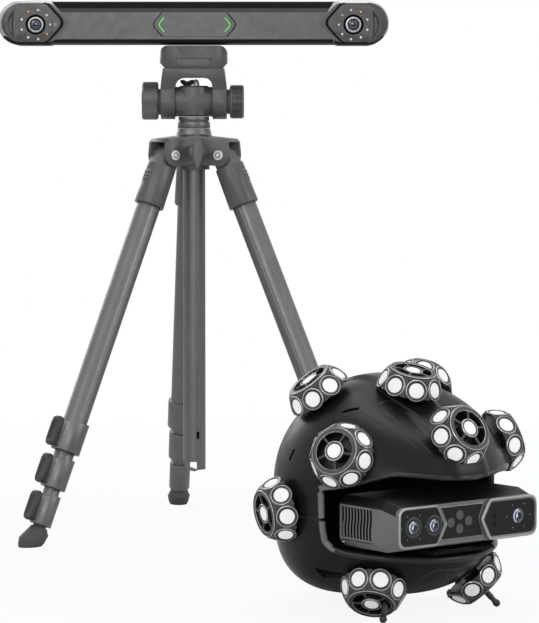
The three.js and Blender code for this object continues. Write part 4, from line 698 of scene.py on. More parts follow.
# Ball: its own place, turned about the upright
ballPlace = {"east": 245, "north": -620, "height": 142, "turn": 38.5, "radius": 136}
ballCentre = columnAxis + Vector((ballPlace["east"], ballPlace["north"], ballPlace["height"])) * mm
ballFrame = (Matrix.Translation(ballCentre) @ Matrix.Rotation(radians(ballPlace["turn"]), 4, "Z")
             @ Matrix.Scale(mm, 4))

shell = {
    "rise": 129, "drop": 126, "wall": 5, "crownPower": 2.1, "chinPower": 2.5, "jawPower": 3.6, "jawStart": 0.35,
    "foreheadTilt": 60, "foreheadReach": 110, "foreheadSoftness": 5,
    "spineWidth": 30, "spineHeight": 4, "browHeight": 8, "browDrop": 26, "skin": 0.9,
    "meridians": 168, "parallels": 96, "innerMeridians": 64, "innerParallels": 32,
}


def smoothStep(x, low, high):
    t = min(max((x - low) / (high - low), 0), 1)
    return t * t * (3 - 2 * t)


def shellRadius(bearing, elevation, inset=0.0):
    level, upright = cos(elevation), sin(elevation)
    up = upright > 0
    boxy = smoothStep(-cos(bearing), -shell["jawStart"], shell["jawStart"])
    power = shell["crownPower"] if up else shell["chinPower"] + (shell["jawPower"] - shell["chinPower"]) * boxy
    tall = shell["rise"] if up else shell["drop"]
    reach = ((max(level, 1e-9) / ballPlace["radius"]) ** power + (abs(upright) / tall) ** power) ** (-1 / power)
    tilt = radians(shell["foreheadTilt"])
    ahead = level * cos(bearing) * cos(tilt) + upright * sin(tilt)
    proud = (reach * ahead - shell["foreheadReach"]) / shell["foreheadSoftness"]
    reach -= shell["foreheadSoftness"] * log1p(exp(proud))
    if inset > 0:
        return reach - inset
    across = abs(reach * level * sin(bearing))
    spine = brow = 0
    if up:
        spine = shell["spineHeight"] * smoothStep(shell["spineWidth"] - across, 0, shell["spineHeight"] * 2)
        if cos(bearing) > 0:
            brow = shell["browHeight"] * exp(-((reach * upright - shell["browDrop"]) / shell["browDrop"]) ** 2)
    return reach + spine + brow * cos(bearing) ** 2


def shellPoint(bearing, elevation, inset=0.0):
    radius = shellRadius(bearing, elevation, inset)
    level = cos(elevation)
    return Vector((radius * level * sin(bearing), -radius * level * cos(bearing),
                   radius * sin(elevation)))


def shellForm(inset, meridians, parallels):
    points = [shellPoint(0, -pi / 2, inset)]
    for row in range(1, parallels):
        elevation = -pi / 2 + pi * row / parallels
        points += [shellPoint(2 * pi * i / meridians, elevation, inset) for i in range(meridians)]
    points.append(shellPoint(0, pi / 2, inset))
    faces, crest = [], len(points) - 1
    for i in range(meridians):
        j = (i + 1) % meridians
        faces.append([0, 1 + j, 1 + i])
        for row in range(parallels - 2):
            a, b = 1 + row * meridians + i, 1 + row * meridians + j
            faces.append([a, b, b + meridians, a + meridians])
        faces.append([crest, crest - meridians + i, crest - meridians + j])
    return points, faces


# Marker drums
drum = {
    "bossProud": 1.5, "stalk": 9, "stalkLength": 2.5, "backReach": 36, "frontReach": 27.4, "height": 24,
    "wall": 2.6, "ringWidth": 5.5, "ringThickness": 3, "discs": 8, "discRadius": 12.8, "discThickness": 2.2,
    "discDrop": 1.2, "markerRadius": 8.4, "spokes": 5, "spokeWidth": 2.6, "hubRadius": 11.6, "dotRadius": 7.9,
    "round": 0.7,
}
drumPlaces = {   # bearing, elevation and the turn of the discs, in degrees
    "crown_drum": (0, 73, 16), "brow_drum": (0, 29.5, 2.5), "left_temple_drum": (-64.5, 20, 14.5),
    "right_temple_drum": (64.5, 20, 28), "left_upper_drum": (-112.5, 52, 40), "right_upper_drum": (112.5, 52, 0),
    "left_side_drum": (-103, -8.5, 28.5), "right_side_drum": (103, -8.5, 0), "left_chin_drum": (-51, -47.5, 13),
    "right_chin_drum": (51, -47.5, 8),
}


def drumDirection(bearing, elevation):
    b, e = radians(bearing), radians(elevation)
    return Vector((cos(e) * sin(b), -cos(e) * cos(b), sin(e)))


def markerDisc(radius, marker, height, sunk):  # boss, bright bezel and white disc, looking along +Z
    edge = drum["round"]
    return turned([
        (0, -sunk), (radius, -sunk), (radius, height - edge, "bezelMetal"), (radius - edge, height, "bezelMetal"),
        (radius - edge - 0.5, height, "drumPlastic"), (marker + 0.6, height - 0.5, "bezelMetal"),
        (marker + 0.1, height - 0.9, "markerWhite"), (marker, height - 0.55, "markerWhite"), (0, height - 0.35),
    ], 40)


def drumForms(sketch, place, spin, discTurn):
    back = drum["stalkLength"]
    front = back + drum["height"]
    place = place @ Matrix.Rotation(spin, 4, "Z")
    corner = 1 / cos(pi / drum["discs"])
    wallTop = front - drum["ringThickness"]
    turn = Matrix.Rotation(pi / drum["discs"] + radians(discTurn), 4, "Z")
    wall = drum["wall"]
    sketch.add(turned([
        (drum["stalk"], back), (drum["backReach"] * corner - 1, back), (drum["backReach"] * corner, back + 1),
        (drum["frontReach"] * corner, wallTop), ((drum["frontReach"] - wall) * corner, wallTop, "drumDark"),
        ((drum["backReach"] - wall) * corner, back + wall, "drumDark"), (drum["stalk"], back + wall, "drumDark"),
        (drum["stalk"], back),
    ], drum["discs"]), "drumPlastic", place @ turn)
    edge = drum["round"]
    outer, inner = drum["frontReach"], drum["frontReach"] - drum["ringWidth"]
    sketch.add(turned([
        (inner, wallTop - 1), (outer - 1, wallTop - 1), (outer, wallTop), (outer, front - edge, "bezelMetal"),
        (outer - edge, front), (inner + edge * 0.6, front, "bezelMetal"), (inner, front - edge * 0.6),
        (inner, wallTop - 1),
    ], 48), "drumPlastic", place)
    for i in range(drum["spokes"]):
        angle = 2 * pi * i / drum["spokes"]
        half, deep = drum["spokeWidth"] / 2, drum["ringThickness"]
        start, stop = drum["hubRadius"] - 2, inner + 1
        rings = [[(at, -half, front - deep), (at, half, front - deep), (at, half, front - edge),
                  (at, half - edge, front - 0.2), (at, -half + edge, front - 0.2), (at, -half, front - edge)]
                 for at in (start, stop)]
        sketch.add(lofted(rings), "drumPlastic", place @ Matrix.Rotation(angle, 4, "Z"))
    sketch.add(turned([(0, back), (drum["stalk"], back), (drum["stalk"] - 1, front - 6), (0, front - 6)], 24),
               "drumDark", place)
    hub = markerDisc(drum["hubRadius"], drum["dotRadius"], 3.6, 3)
    sketch.add(hub, "drumPlastic", place @ Matrix.Translation((0, 0, front - 3)))
    sketch.add(turned([(0, -0.5), (drum["stalk"] + 2, -0.5), (drum["stalk"], back + 1), (0, back + 1)], 24),
               "drumPlastic", place)
    wallHeight = drum["height"] - drum["ringThickness"]
    lean = atan2(drum["backReach"] - drum["frontReach"], wallHeight)
    middle = (drum["backReach"] + drum["frontReach"]) / 2
    for i in range(drum["discs"]):
        seat = (Matrix.Rotation(2 * pi * i / drum["discs"] + radians(discTurn), 4, "Z")
                @ Matrix.Translation((middle + drum["discDrop"] * sin(lean), 0,
                                      back + wallHeight / 2 - drum["discDrop"] * cos(lean)))
                @ Matrix.Rotation(pi / 2 - lean, 4, "Y"))
        sketch.add(markerDisc(drum["discRadius"], drum["markerRadius"], drum["discThickness"], 1.5),
                   "drumPlastic", place @ seat)


chinPeg = {"radius": 3.6, "tipRadius": 4.6, "offset": 16}


def chinTurn(bearing, elevation):  # the angle in the drum's own plane at which the peg stands
    direction = drumDirection(bearing, elevation)
    b = radians(bearing)
    inward = -1 if bearing > 0 else 1
    tangent = Vector((inward * cos(b), -abs(sin(b)), 0))
    turn = Vector((0, 0, 1)).rotation_difference(direction)
    across = turn.inverted() @ tangent
    return atan2(across.y, across.x)


def makeDrums():
    for name, (bearing, elevation, discTurn) in drumPlaces.items():
        direction = drumDirection(bearing, elevation)
        seat = shellRadius(radians(bearing), radians(elevation)) + drum["bossProud"]
        place = ballFrame @ facing(direction, direction * seat)
        sketch = Sketch()
        spin = 0.0
        if "chin" in name:
            angle = chinTurn(bearing, elevation)
            spin = angle - pi / drum["spokes"]
            reach = (ballPlace["height"] - chinPeg["tipRadius"]) / -direction.z - seat
            thin, tip = chinPeg["radius"], chinPeg["tipRadius"]
            peg = turned([(0, 4), (thin, 4), (thin, reach - tip * 2), (thin * 0.8, reach - tip * 1.5),
                          (tip * 0.8, reach - tip * 0.6), (tip, reach), (tip * 0.7, reach + tip * 0.7),
                          (0, reach + tip)], 20)
            out = chinPeg["offset"]
            stand = Matrix.Translation((out * cos(angle), out * sin(angle), 0))
            sketch.add(peg, "drumDark", place @ stand)
        drumForms(sketch, place, spin, discTurn)
        sketch.build(name + "_form", "base", (name,), 40)


makeDrums()
print("drums made:", len(drumPlaces))


# Shell halves: fine skins cut by the mouth, the rear opening and the slots, with a rolled lip
mouth = {
    "halfWidth": 133, "back": 34, "lipLevel": -65, "corner": 18, "lipSag": 7.5,
    "brow": ((-133, 10), (-125, 14.5), (-112, 19.5), (-98, 25.5), (-86, 29), (-66, 27.3), (-38, 23.8), (0, 22.6),
             (38, 23.8), (66, 27.3), (86, 29), (98, 25.5), (112, 19.5), (125, 14.5), (133, 10)),
    "browRoll": 2.4, "sideRoll": 3.8, "lipRoll": 4.2, "seam": -26, "seamGap": 0.35, "litPast": -122,
}
rearOpening = {"width": 148, "height": 122, "rise": -1, "corner": 26, "front": 40}
creases = {   # bearing and elevation of the fine raised lines, in degrees
    "longFold": ((-80, 63), (-62.6, 56.5), (-48.9, 51.9), (-39, 46.4), (-30.4, 38.4), (-24.8, 30.9), (-19, 21.5)),
    "spineFold": ((-99.7, 76), (-65.5, 73.3), (-42.5, 68.4), (-28.1, 61.4), (-16, 50.5), (-10.5, 44)),
    "panelFold": ((-76.9, 40.7), (-68.3, 43.4), (-61.4, 45.6), (-46.8, 39.3), (-34.6, 32.6), (-26.3, 24.8)),
    "arch": ((-49.7, 55.3), (-47.6, 60.3), (-41, 63), (-35.7, 63.4), (-31.8, 58.7)),
    "jawFold": ((-25.1, -50), (-14.8, -38.5), (-7, -37.7), (0, -38), (12, -37.6)),
    "jawRib": ((-3.5, -38.2), (1, -45.4)),
}
slots = {     # corners by bearing and elevation, in degrees
    "jawWindow": ((-87.5, -35.3), (-69.6, -39.8), (-71.1, -43.8), (-85.6, -43)),
    "browSlot": ((-75.1, 43.2), (-74.6, 45.4), (-64.2, 49), (-63.8, 46.9)),
    "sideSlit": ((-100.9, 21.6), (-98.8, 20.6), (-100.9, 14.8), (-103, 15.4)),
}
slotDepth = 4.2
creaseLine = {"radius": 0.75, "sunk": 0.9985}


def surfaceAt(x, z):  # the point of the outer skin at this place, seen from the front
    near, far = 0.0, 200.0
    for step in range(40):
        y = (near + far) / 2
        point = Vector((x, -y, z))
        outside = point.length > shellRadius(atan2(x, y), asin(z / point.length))
        near, far = (near, y) if outside else (y, far)
    return Vector((x, -near, z))


def slotForm(corners):
    rings = []
    for inset in (slotDepth, -6):
        rings.append([shellPoint(radians(b), radians(e)) * (1 - inset / ballPlace["radius"])
                      for b, e in corners])
    return lofted(rings)


def lipCurve(x):
    reach = mouth["halfWidth"] - mouth["corner"]
    return mouth["lipLevel"] - mouth["lipSag"] * (1 - min(abs(x) / reach, 1) ** 2)


def mouthOutline():
    reach = mouth["halfWidth"] - mouth["corner"]
    lower = [(reach * (1 - k / 12), lipCurve(reach * (1 - k / 12))) for k in range(25)]
    corner = mouth["lipLevel"] + mouth["corner"]
    return [(mouth["halfWidth"], corner)] + lower + [(-mouth["halfWidth"], corner)] + list(mouth["brow"])


# faces of the inner skin take painted shade
def skinFinish(points, face):
    middle = middleOf(points, face)
    outer = shellRadius(atan2(middle.x, -middle.y), asin(middle.z / middle.length))
    return "shellBlack" if middle.length > outer - shell["skin"] else "shellInside"


def sideAt(z):  # the point of the outer skin where the mouth's back plane meets it
    near, far = 60.0, 200.0
    for step in range(40):
        x = (near + far) / 2
        point = Vector((x, -mouth["back"], z))
        outside = point.length > shellRadius(atan2(x, mouth["back"]), asin(z / point.length))
        near, far = (near, x) if outside else (x, far)
    return Vector((near, -mouth["back"], z))


def rimPoint(x, z):  # on the mouth's edge: the skin in front, or its side where the mouth runs out
    side, here = sideAt(z), surfaceAt(x, z)
    if here.y > -mouth["back"] or abs(x) >= side.x:
        return Vector((copysign(side.x, x), side.y, z))
    return here


def rolledLips():  # beads along the mouth's edge, above and below the seam
    thin, thick = mouth["sideRoll"], mouth["lipRoll"]
    wide, reach = mouth["halfWidth"], mouth["halfWidth"] - mouth["corner"]
    brow = rounded(mouth["brow"], [6] * len(mouth["brow"]), False, 4)
    side = [(wide, z) for z in (4, -4, -14, mouth["seam"] + 2)]
    upper = [(-x, z) for x, z in side[::-1]] + brow + side
    level, inner = mouth["lipLevel"], reach - 16
    bend = [(wide, -40), (wide, level + mouth["corner"]), (reach, level), (inner, lipCurve(inner))]
    corner = rounded(bend, [0, 6, 9, 0], False, 5)[:-1]
    sag = [(inner * (1 - k / 14), lipCurve(inner * (1 - k / 14))) for k in range(15)]
    low = [(wide, mouth["seam"] - 2), (wide, -34)] + corner + sag
    lower = low + [(-x, z) for x, z in low[::-1]][1:]
    upperSizes = [mouth["browRoll"] + (thin - mouth["browRoll"]) * smoothStep(abs(x), 100, 130) for x, z in upper]
    lowerSizes = [thick + (thin - thick) * smoothStep(abs(x), 95, 130) for x, z in lower]
    return (beaded([rimPoint(x, z) for x, z in upper], upperSizes, 12),
            beaded([rimPoint(x, z) for x, z in lower], lowerSizes, 14))


def finePath(path, steps=5):  # a smooth run through the given points
    run = []
    for i in range(len(path) - 1):
        a, b, c, d = (Vector(path[max(0, min(len(path) - 1, i + k))]) for k in (-1, 0, 1, 2))
        for k in range(steps):
            t = k / steps
            run.append(tuple(0.5 * ((2 * b) + (c - a) * t + (2 * a - 5 * b + 4 * c - d) * t ** 2
                                    + (3 * b - 3 * c + d - a) * t ** 3)))
    return run + [path[-1]]


def makeShells():
    reach = 220
    prism = [[(x, y, z) for x, z in mouthOutline()] for y in (-reach, -mouth["back"])]
    hole = roundedOutline(rearOpening["width"], rearOpening["height"], rearOpening["corner"],
                          6, 0, rearOpening["rise"])
    rear = [[(x, y, z) for x, z in hole] for y in (rearOpening["front"], reach)]
    hollow = shellForm(shell["wall"], shell["innerMeridians"], shell["innerParallels"])
    cuts = [hollow, lofted(prism), lofted(rear)] + [slotForm(corners) for corners in slots.values()]
    outer = shellForm(0, shell["meridians"], shell["parallels"])
    lips = rolledLips()
    for name, side, lip in (("shell_upper", 1, lips[0]), ("shell_lower", -1, lips[1])):
        near = mouth["seam"] + side * mouth["seamGap"] / 2
        square = [(-reach, -reach), (reach, -reach), (reach, reach), (-reach, reach)]
        half = lofted([[(x, y, z) for x, y in square] for z in (near, side * reach)])
        points, faces = carved(outer, cuts, half)
        sketch = Sketch()
        sketch.add((points, faces, [skinFinish(points, face) for face in faces]), "shellBlack", ballFrame)
        # faces of the lip past its left end take painted light
        lit = ["lipLit" if sum(lip[0][i].x for i in face) / len(face) < mouth["litPast"] else "lipBlack"
               for face in lip[1]]
        sketch.add((lip[0], lip[1], lit), "lipBlack", ballFrame)
        for path in creases.values():
            if (path[0][1] > 0) != (side > 0):
                continue
            run = [shellPoint(radians(b), radians(e)) * creaseLine["sunk"] for b, e in finePath(path)]
            sizes = [creaseLine["radius"] * min(1, 0.25 + 4 * min(k, len(run) - 1 - k) / len(run))
                     for k in range(len(run))]
            sketch.add(beaded(run, sizes, 8), "shellBlack", ballFrame)
        sketch.build(name + "_form", "base", (name,), 32)


makeShells()
print("shell made")


# Hand scanner, drawn in its own frame: the face looks along -Y
scanner = {
    "east": -5, "rise": -27.2, "face": 146, "depth": 107, "half": 110, "tall": 29.5, "taper": 27, "edge": 9,
    "frontInset": 3.5, "frontLidInset": 6, "backInset": 8, "block": 4, "grilleStart": 46, "grillePitch": 5.4,
    "grilleSlots": 10, "grilleSlot": 3.1, "grilleHeight": 35, "grilleDepth": 2.6, "pane": 1.5, "shadedLidSlope": 0.35,
}
scannerFrame = ballFrame @ Matrix.Translation((scanner["east"], 0, scanner["rise"]))
windows = {   # outlines seen from the front, the rim's width and how far it stands out
    "left": {"outline": ((-106.4, -23.2), (-48, -23.2), (-36, 0.6), (-48, 23.6), (-106.4, 23.6)),
             "corners": (11, 4, 3, 4, 11), "rim": 3.3, "proud": 0.3},
    "middle": {"outline": ((-45.2, -18), (23, -18), (15.4, 1.2), (23, 20.4), (-45.2, 20.4), (-34.6, 0.8)),
               "corners": (1, 2, 5, 2, 1, 3), "rim": 1.7, "proud": -0.5},
    "right": {"outline": ((30.5, -24), (105, -24), (105, 23.8), (30.5, 23.8), (17.2, 0.6)),
              "corners": (5, 12, 12, 5, 4), "rim": 4.6, "proud": 1.0},
}
eyes = {"left": (-84, -53), "right": (76,)}
eye = {"ring": 12.0, "glass": 8.6, "size": {"left": 1, "right": 1.14}, "level": 0.3, "sunk": 1.4,
       "pinholes": 18.2, "pinhole": 0.55}
# shape of the painted reflection on each dome
paintedGlintShape = {"start": 95, "sweep": 150, "outer": 0.84, "width": 0.5, "low": 0.7, "high": 1.4, "rise": 1.9}
# Seam and light under each grille: the finish, then two outlines by x, start, length, top and height
sideMarks = {
    "seam": ("seamBlackAndGrooveShade", (-0.6, -4, 52, -19.6, 0.9), (0.25, -4, 52, -19.6, 0.9)),
    "light": ("brightSteel", (-0.6, 45, 4, -22.4, 1.6), (0.35, 45.4, 3.2, -22.7, 1)),
}
squares = {"at": 39, "side": 6.3, "rows": (3.6, -5.4)}
keys = {"centre": -13.9, "level": 1.0, "sideways": 13.4, "upward": 7.9, "radius": 5.5, "lines": 5,
        "pitch": 1.9}
ledge = {"east": -6, "width": 60, "reach": 22, "sag": 8, "thick": 3.2, "edge": 0.6, "deep": 3.5, "drop": 3}


def windowForm(window):  # light rim, its bevels and the black pane inside it
    front = -scanner["face"] - window["proud"]
    outline, rim = window["outline"], window["rim"]
    steps = ((0, front + 7, "scannerCase"), (0, front + 1.3, "frameMetal"), (0.9, front + 0.1, "frameMetal"),
             (rim * 0.55, front, "rimShade"), (rim - 0.3, front + 0.8, "plateBlack"),
             (rim, front + scanner["pane"], None))
    rings = []
    for inset, y, finish in steps:
        sizes = [max(size - inset * 0.6, 0.4) for size in window["corners"]]
        rings.append([(x, y, z) for x, z in rounded(insetOutline(outline, inset), sizes, True, 5)])
    return lofted(rings, True, [finish for inset, y, finish in steps[:-1]] + ["scannerCase", "plateBlack"])


def eyeForm(at, size):
    ring, glass = eye["ring"] * size, eye["glass"] * size
    dome = turned([
        (0, -3), (ring, -3, "lensBlack"), (ring, 0.3, "lensRing"), (ring - 0.6, 0.55, "lensRing"),
        (glass + 0.8, 0.35, "lensRing"), (glass + 0.2, -0.3, "lensBlack"), (glass, -0.9, "coatedGlass"),
        (glass * 0.86, 1.0, "coatedGlass"), (glass * 0.66, 2.2, "coatedGlass"), (glass * 0.42, 2.9, "lensPupil"),
        (glass * 0.2, 3.2, "lensPupil"), (0, 3.3),
    ], 40)
    return placed(dome, frontward(at, -scanner["face"] + eye["sunk"], eye["level"]))


def paintedGlintForm(at, size):  # painted reflection: a pale crescent on each dome where a lamp would show on the glass
    glass, y, rings = eye["glass"] * size, -scanner["face"] + eye["sunk"], []
    outer, low, high = paintedGlintShape["outer"], paintedGlintShape["low"], paintedGlintShape["high"]
    for k in range(13):
        angle = radians(paintedGlintShape["start"] + paintedGlintShape["sweep"] * k / 12)
        wide = paintedGlintShape["width"] * sin(pi * k / 12) + 0.04
        inner, top = outer - wide, high + paintedGlintShape["rise"] * wide / paintedGlintShape["width"]
        rings.append([(at + r * glass * cos(angle), y - h, eye["level"] + r * glass * sin(angle))
                      for r, h in ((outer, low), (outer, high), (inner, top), (inner, low))])
    return lofted(rings)


def makeScannerBody():
    sketch = Sketch()
    front = -scanner["face"] + scanner["block"]
    back = -scanner["face"] + scanner["depth"]

    def ring(sideInset, lidInset, y):
        w, h, edge = scanner["half"] - sideInset, scanner["tall"] - lidInset, scanner["edge"]
        corners = [(w - edge, -h), (w, -h + edge), (w, h - edge), (w - edge, h),
                   (-w + edge, h), (-w, h - edge), (-w, -h + edge), (-w + edge, -h)]
        return [(x, y, z) for x, z in rounded(corners, [2.2] * 8, True, 3)]

    case = lofted([
        ring(scanner["frontInset"], scanner["frontLidInset"], front),
        ring(0.2, 0.3, front + scanner["taper"] - 5.5),
        ring(0, 0, front + scanner["taper"] - 3), ring(0, 0, back - scanner["backInset"]),
        ring(scanner["backInset"], scanner["backInset"], back),
    ])
    slits = []
    for side in (-1, 1):
        for i in range(scanner["grilleSlots"]):
            middle = -scanner["face"] + scanner["grilleStart"] + i * scanner["grillePitch"] - 1
            half, tall = scanner["grilleSlot"] / 2, scanner["grilleHeight"] / 2
            wave = [(middle + 0.9 * sin(pi * k / 4), tall * (k / 4 - 1)) for k in range(9)]
            outline = [(y - half, z) for y, z in wave] + [(y + half, z) for y, z in wave[::-1]]
            ends = (side * (scanner["half"] - scanner["grilleDepth"]), side * (scanner["half"] + 2))
            slits.append(lofted([[(x, y, z) for y, z in outline] for x in ends]))
    points, faces = carved(case, slits)
    own = []
    for face in faces:
        middle = middleOf(points, face)
        # upward faces of the scanner's top take painted shade, for the shadow the brow casts on it
        shadedLid = middle.z > 0 and abs(normal([points[i] for i in face]).z) > scanner["shadedLidSlope"]
        sunk = scanner["half"] - scanner["grilleDepth"] - 0.3 < abs(middle.x) < scanner["half"] - 0.3
        inGrille = sunk and abs(middle.z) < scanner["grilleHeight"] / 2 and front + 20 < middle.y < back - 12
        # the grille slits' insides take painted shade
        own.append("shellInside" if inGrille else "lidBlack" if shadedLid else "scannerCase")
    sketch.add((points, faces, own), "scannerCase", scannerFrame)
    sketch.add(windowForm(windows["middle"]), "plateBlack", scannerFrame)
    for side in (-1, 1):
        x, y = side * (scanner["half"] + 0.05), -scanner["face"] + scanner["grilleStart"]
        for finish, *outlines in sideMarks.values():
            rings = []
            for out, start, length, top, height in outlines:
                rings.append([(x + side * out, y + start + t * length, top - d * height)
                              for t, d in ((0, 0), (1, 0), (1, 1), (0, 1))])
            sketch.add(lofted(rings), finish, scannerFrame)
    sketch.build("scanner_body_form", "base", ("scanner_body",), 28)


def makeWindows():
    for side, centres in eyes.items():
        sketch = Sketch()
        sketch.add(windowForm(windows[side]), "plateBlack", scannerFrame)
        pane = -scanner["face"] - windows[side]["proud"] + scanner["pane"]
        for at in centres:
            sketch.add(eyeForm(at, eye["size"][side]), "coatedGlass", scannerFrame)
            sketch.add(paintedGlintForm(at, eye["size"][side]), "paintedGlint", scannerFrame)
        for k in range(6):
            angle = radians(60 * k)
            x = centres[0] + eye["pinholes"] * cos(angle)
            z = eye["level"] + eye["pinholes"] * sin(angle) * 0.84
            hole = turned([(0, -0.5), (eye["pinhole"], -0.5), (eye["pinhole"], 0.15), (0, 0.25)], 10)
            sketch.add(placed(hole, frontward(x, pane, z)), "frameMetal", scannerFrame)
        if side == "right":
            for row in squares["rows"]:
                outline = roundedOutline(squares["side"], squares["side"], 0.7, 3, squares["at"], row)
                sketch.add(fronted(outline, 1, 0.2, pane - 0.25), "seamBlackAndGrooveShade", scannerFrame)
        sketch.build(side + "_window_form", "base", (side + "_window_plate",), 30)


def makeKeys():
    places = {"key_up": (0, 1), "key_down": (0, -1), "key_left": (-1, 0), "key_right": (1, 0)}
    pane = -scanner["face"] - windows["middle"]["proud"] + scanner["pane"]
    for name, (across, upward) in places.items():
        sketch = Sketch()
        x = keys["centre"] + across * keys["sideways"]
        z = keys["level"] + upward * keys["upward"]
        size = keys["radius"]
        cap = turned([(0, -2), (size, -2), (size, 0.4, "keyRim"), (size - 0.35, 0.75, "keyRim"),
                      (size - 0.9, 0.75), (size - 1.1, 0.4), (0, 0.4)], 32)
        sketch.add(placed(cap, frontward(x, pane, z)), "keyRubber", scannerFrame)
        lean = Matrix.Rotation(radians(20 if across else -20), 4, "Y")
        for k in range(keys["lines"]):   # raised lines across the cap
            offset = (k - (keys["lines"] - 1) / 2) * keys["pitch"]
            half = sqrt(max((size - 1.4) ** 2 - offset ** 2, 0.3))
            ends = [lean @ Vector((s, 0, offset)) for s in (-half, half)]
            line = [[(x + end.x, pane + d, z + end.z + h)
                     for d, h in ((-0.1, -0.4), (-0.75, -0.25), (-0.75, 0.25), (-0.1, 0.4))] for end in ends]
            sketch.add(lofted(line), "keyRim", scannerFrame)
        sketch.build(name + "_form", name, (name,), 30)


def makeLedge():   # bright front lip of the tray under the scanner
    sketch = Sketch()
    level = scanner["rise"] - scanner["tall"] - ledge["drop"]
    half, front = ledge["width"] / 2, -scanner["face"] + ledge["reach"]
    thick, edge, deep = ledge["thick"], ledge["edge"], ledge["deep"]
    steps = ((0, deep), (0, edge), (edge, 0), (thick - edge, 0), (thick, edge), (thick, deep))
    curve = [(half * k / 10, front - ledge["sag"] * (1 - (k / 10) ** 2)) for k in range(-10, 11)]
    rings = [[(x + ledge["east"], y + back, level - drop) for drop, back in steps] for x, y in curve]
    sketch.add(lofted(rings), "brightSteel", ballFrame)
    sketch.build("tray_lip", "base", (), 30)


makeScannerBody()
makeWindows()
makeKeys()
makeLedge()
print("scanner made")


# Tracker bar, drawn about its own centre
barFrame = Matrix.Translation(barCentre) @ Matrix.Scale(mm, 4)
bar = {
    "length": 535, "height": 61, "depth": 66, "faceTop": 14.2, "faceBottom": -22.6, "chamferRise": 5.3,
    "chamferDepth": 3, "flankDepth": 13, "backInset": 7, "backDepth": 9, "endShoulder": 72.5, "endTip": 99,
    "end": 66.5, "low": 1.3, "slide": 1.9, "level": -2.7,
}
featureFrame = barFrame @ Matrix.Translation((bar["slide"], 0, bar["level"]))
cover = {
    "lens": 50.4, "lineShoulder": 66.3, "lineTip": 90.5, "lineWidth": 4, "rim": 4, "proud": 0.6, "circle": 23.2,
    "lights": 9, "lightCircle": 20.1, "lightSize": 1.75, "ringOuter": 13.9, "ringInner": 10.8, "glass": 8.0,
    "spot": 77.2, "grooveLeft": 13, "grooveRight": 22, "grooveBow": 1.6, "grooveHalf": 21.3, "grooveDepth": 2.4,
    "warm": {"left": (1, 6), "right": (6, 8)},   # which of the lights are of the warmer colour
}


def endOutline(inset, shoulder, tip, corner, point):
    high = bar["height"] / 2 - inset
    turnAt, end = (bar["length"] - bar["height"]) / 2, bar["length"] / 2
    arc = [(turnAt + high * cos(a), high * sin(a)) for a in (pi * (i / 28 - 0.5) for i in range(29))]
    chevron = [(end - shoulder, high), (end - tip, 0), (end - shoulder, -high)]
    return arc + rounded([arc[-1]] + chevron + [arc[0]], [0, corner, point, corner, 0], False)[1:-1]


def grooveForm():  # finger groove: between two arcs, its walls sloping
    end, front = bar["length"] / 2, -bar["depth"] / 2 - cover["proud"]
    rings = []
    for inset, y in ((-0.8, front - 1), (0.2, front), (2.6, front + cover["grooveDepth"])):
        half = cover["grooveHalf"] - inset * 1.6
        near, far, bow = cover["grooveLeft"], cover["grooveRight"], cover["grooveBow"]
        outer = [(end - near - inset - (far + bow - near - inset) * (k / 10) ** 2, half * k / 10)
                 for k in range(-10, 11)]
        inner = [(end - far + inset - bow * (k / 10) ** 2, half * k / 10) for k in range(9, -10, -1)]
        rings.append([(x, y, z + bar["level"]) for x, z in outer + inner])
    return lofted(rings)


def sided(side):  # what turns the right end into this side's, its shift, and where its lens sits
    flip = mirroredForm if side == "left" else (lambda form: form)
    slide = bar["slide"] * (1 if side == "right" else -1)
    eyeAt = bar["length"] / 2 - cover["lens"] + slide
    return flip, slide, eyeAt, frontward(eyeAt, -bar["depth"] / 2 - cover["proud"], bar["level"])


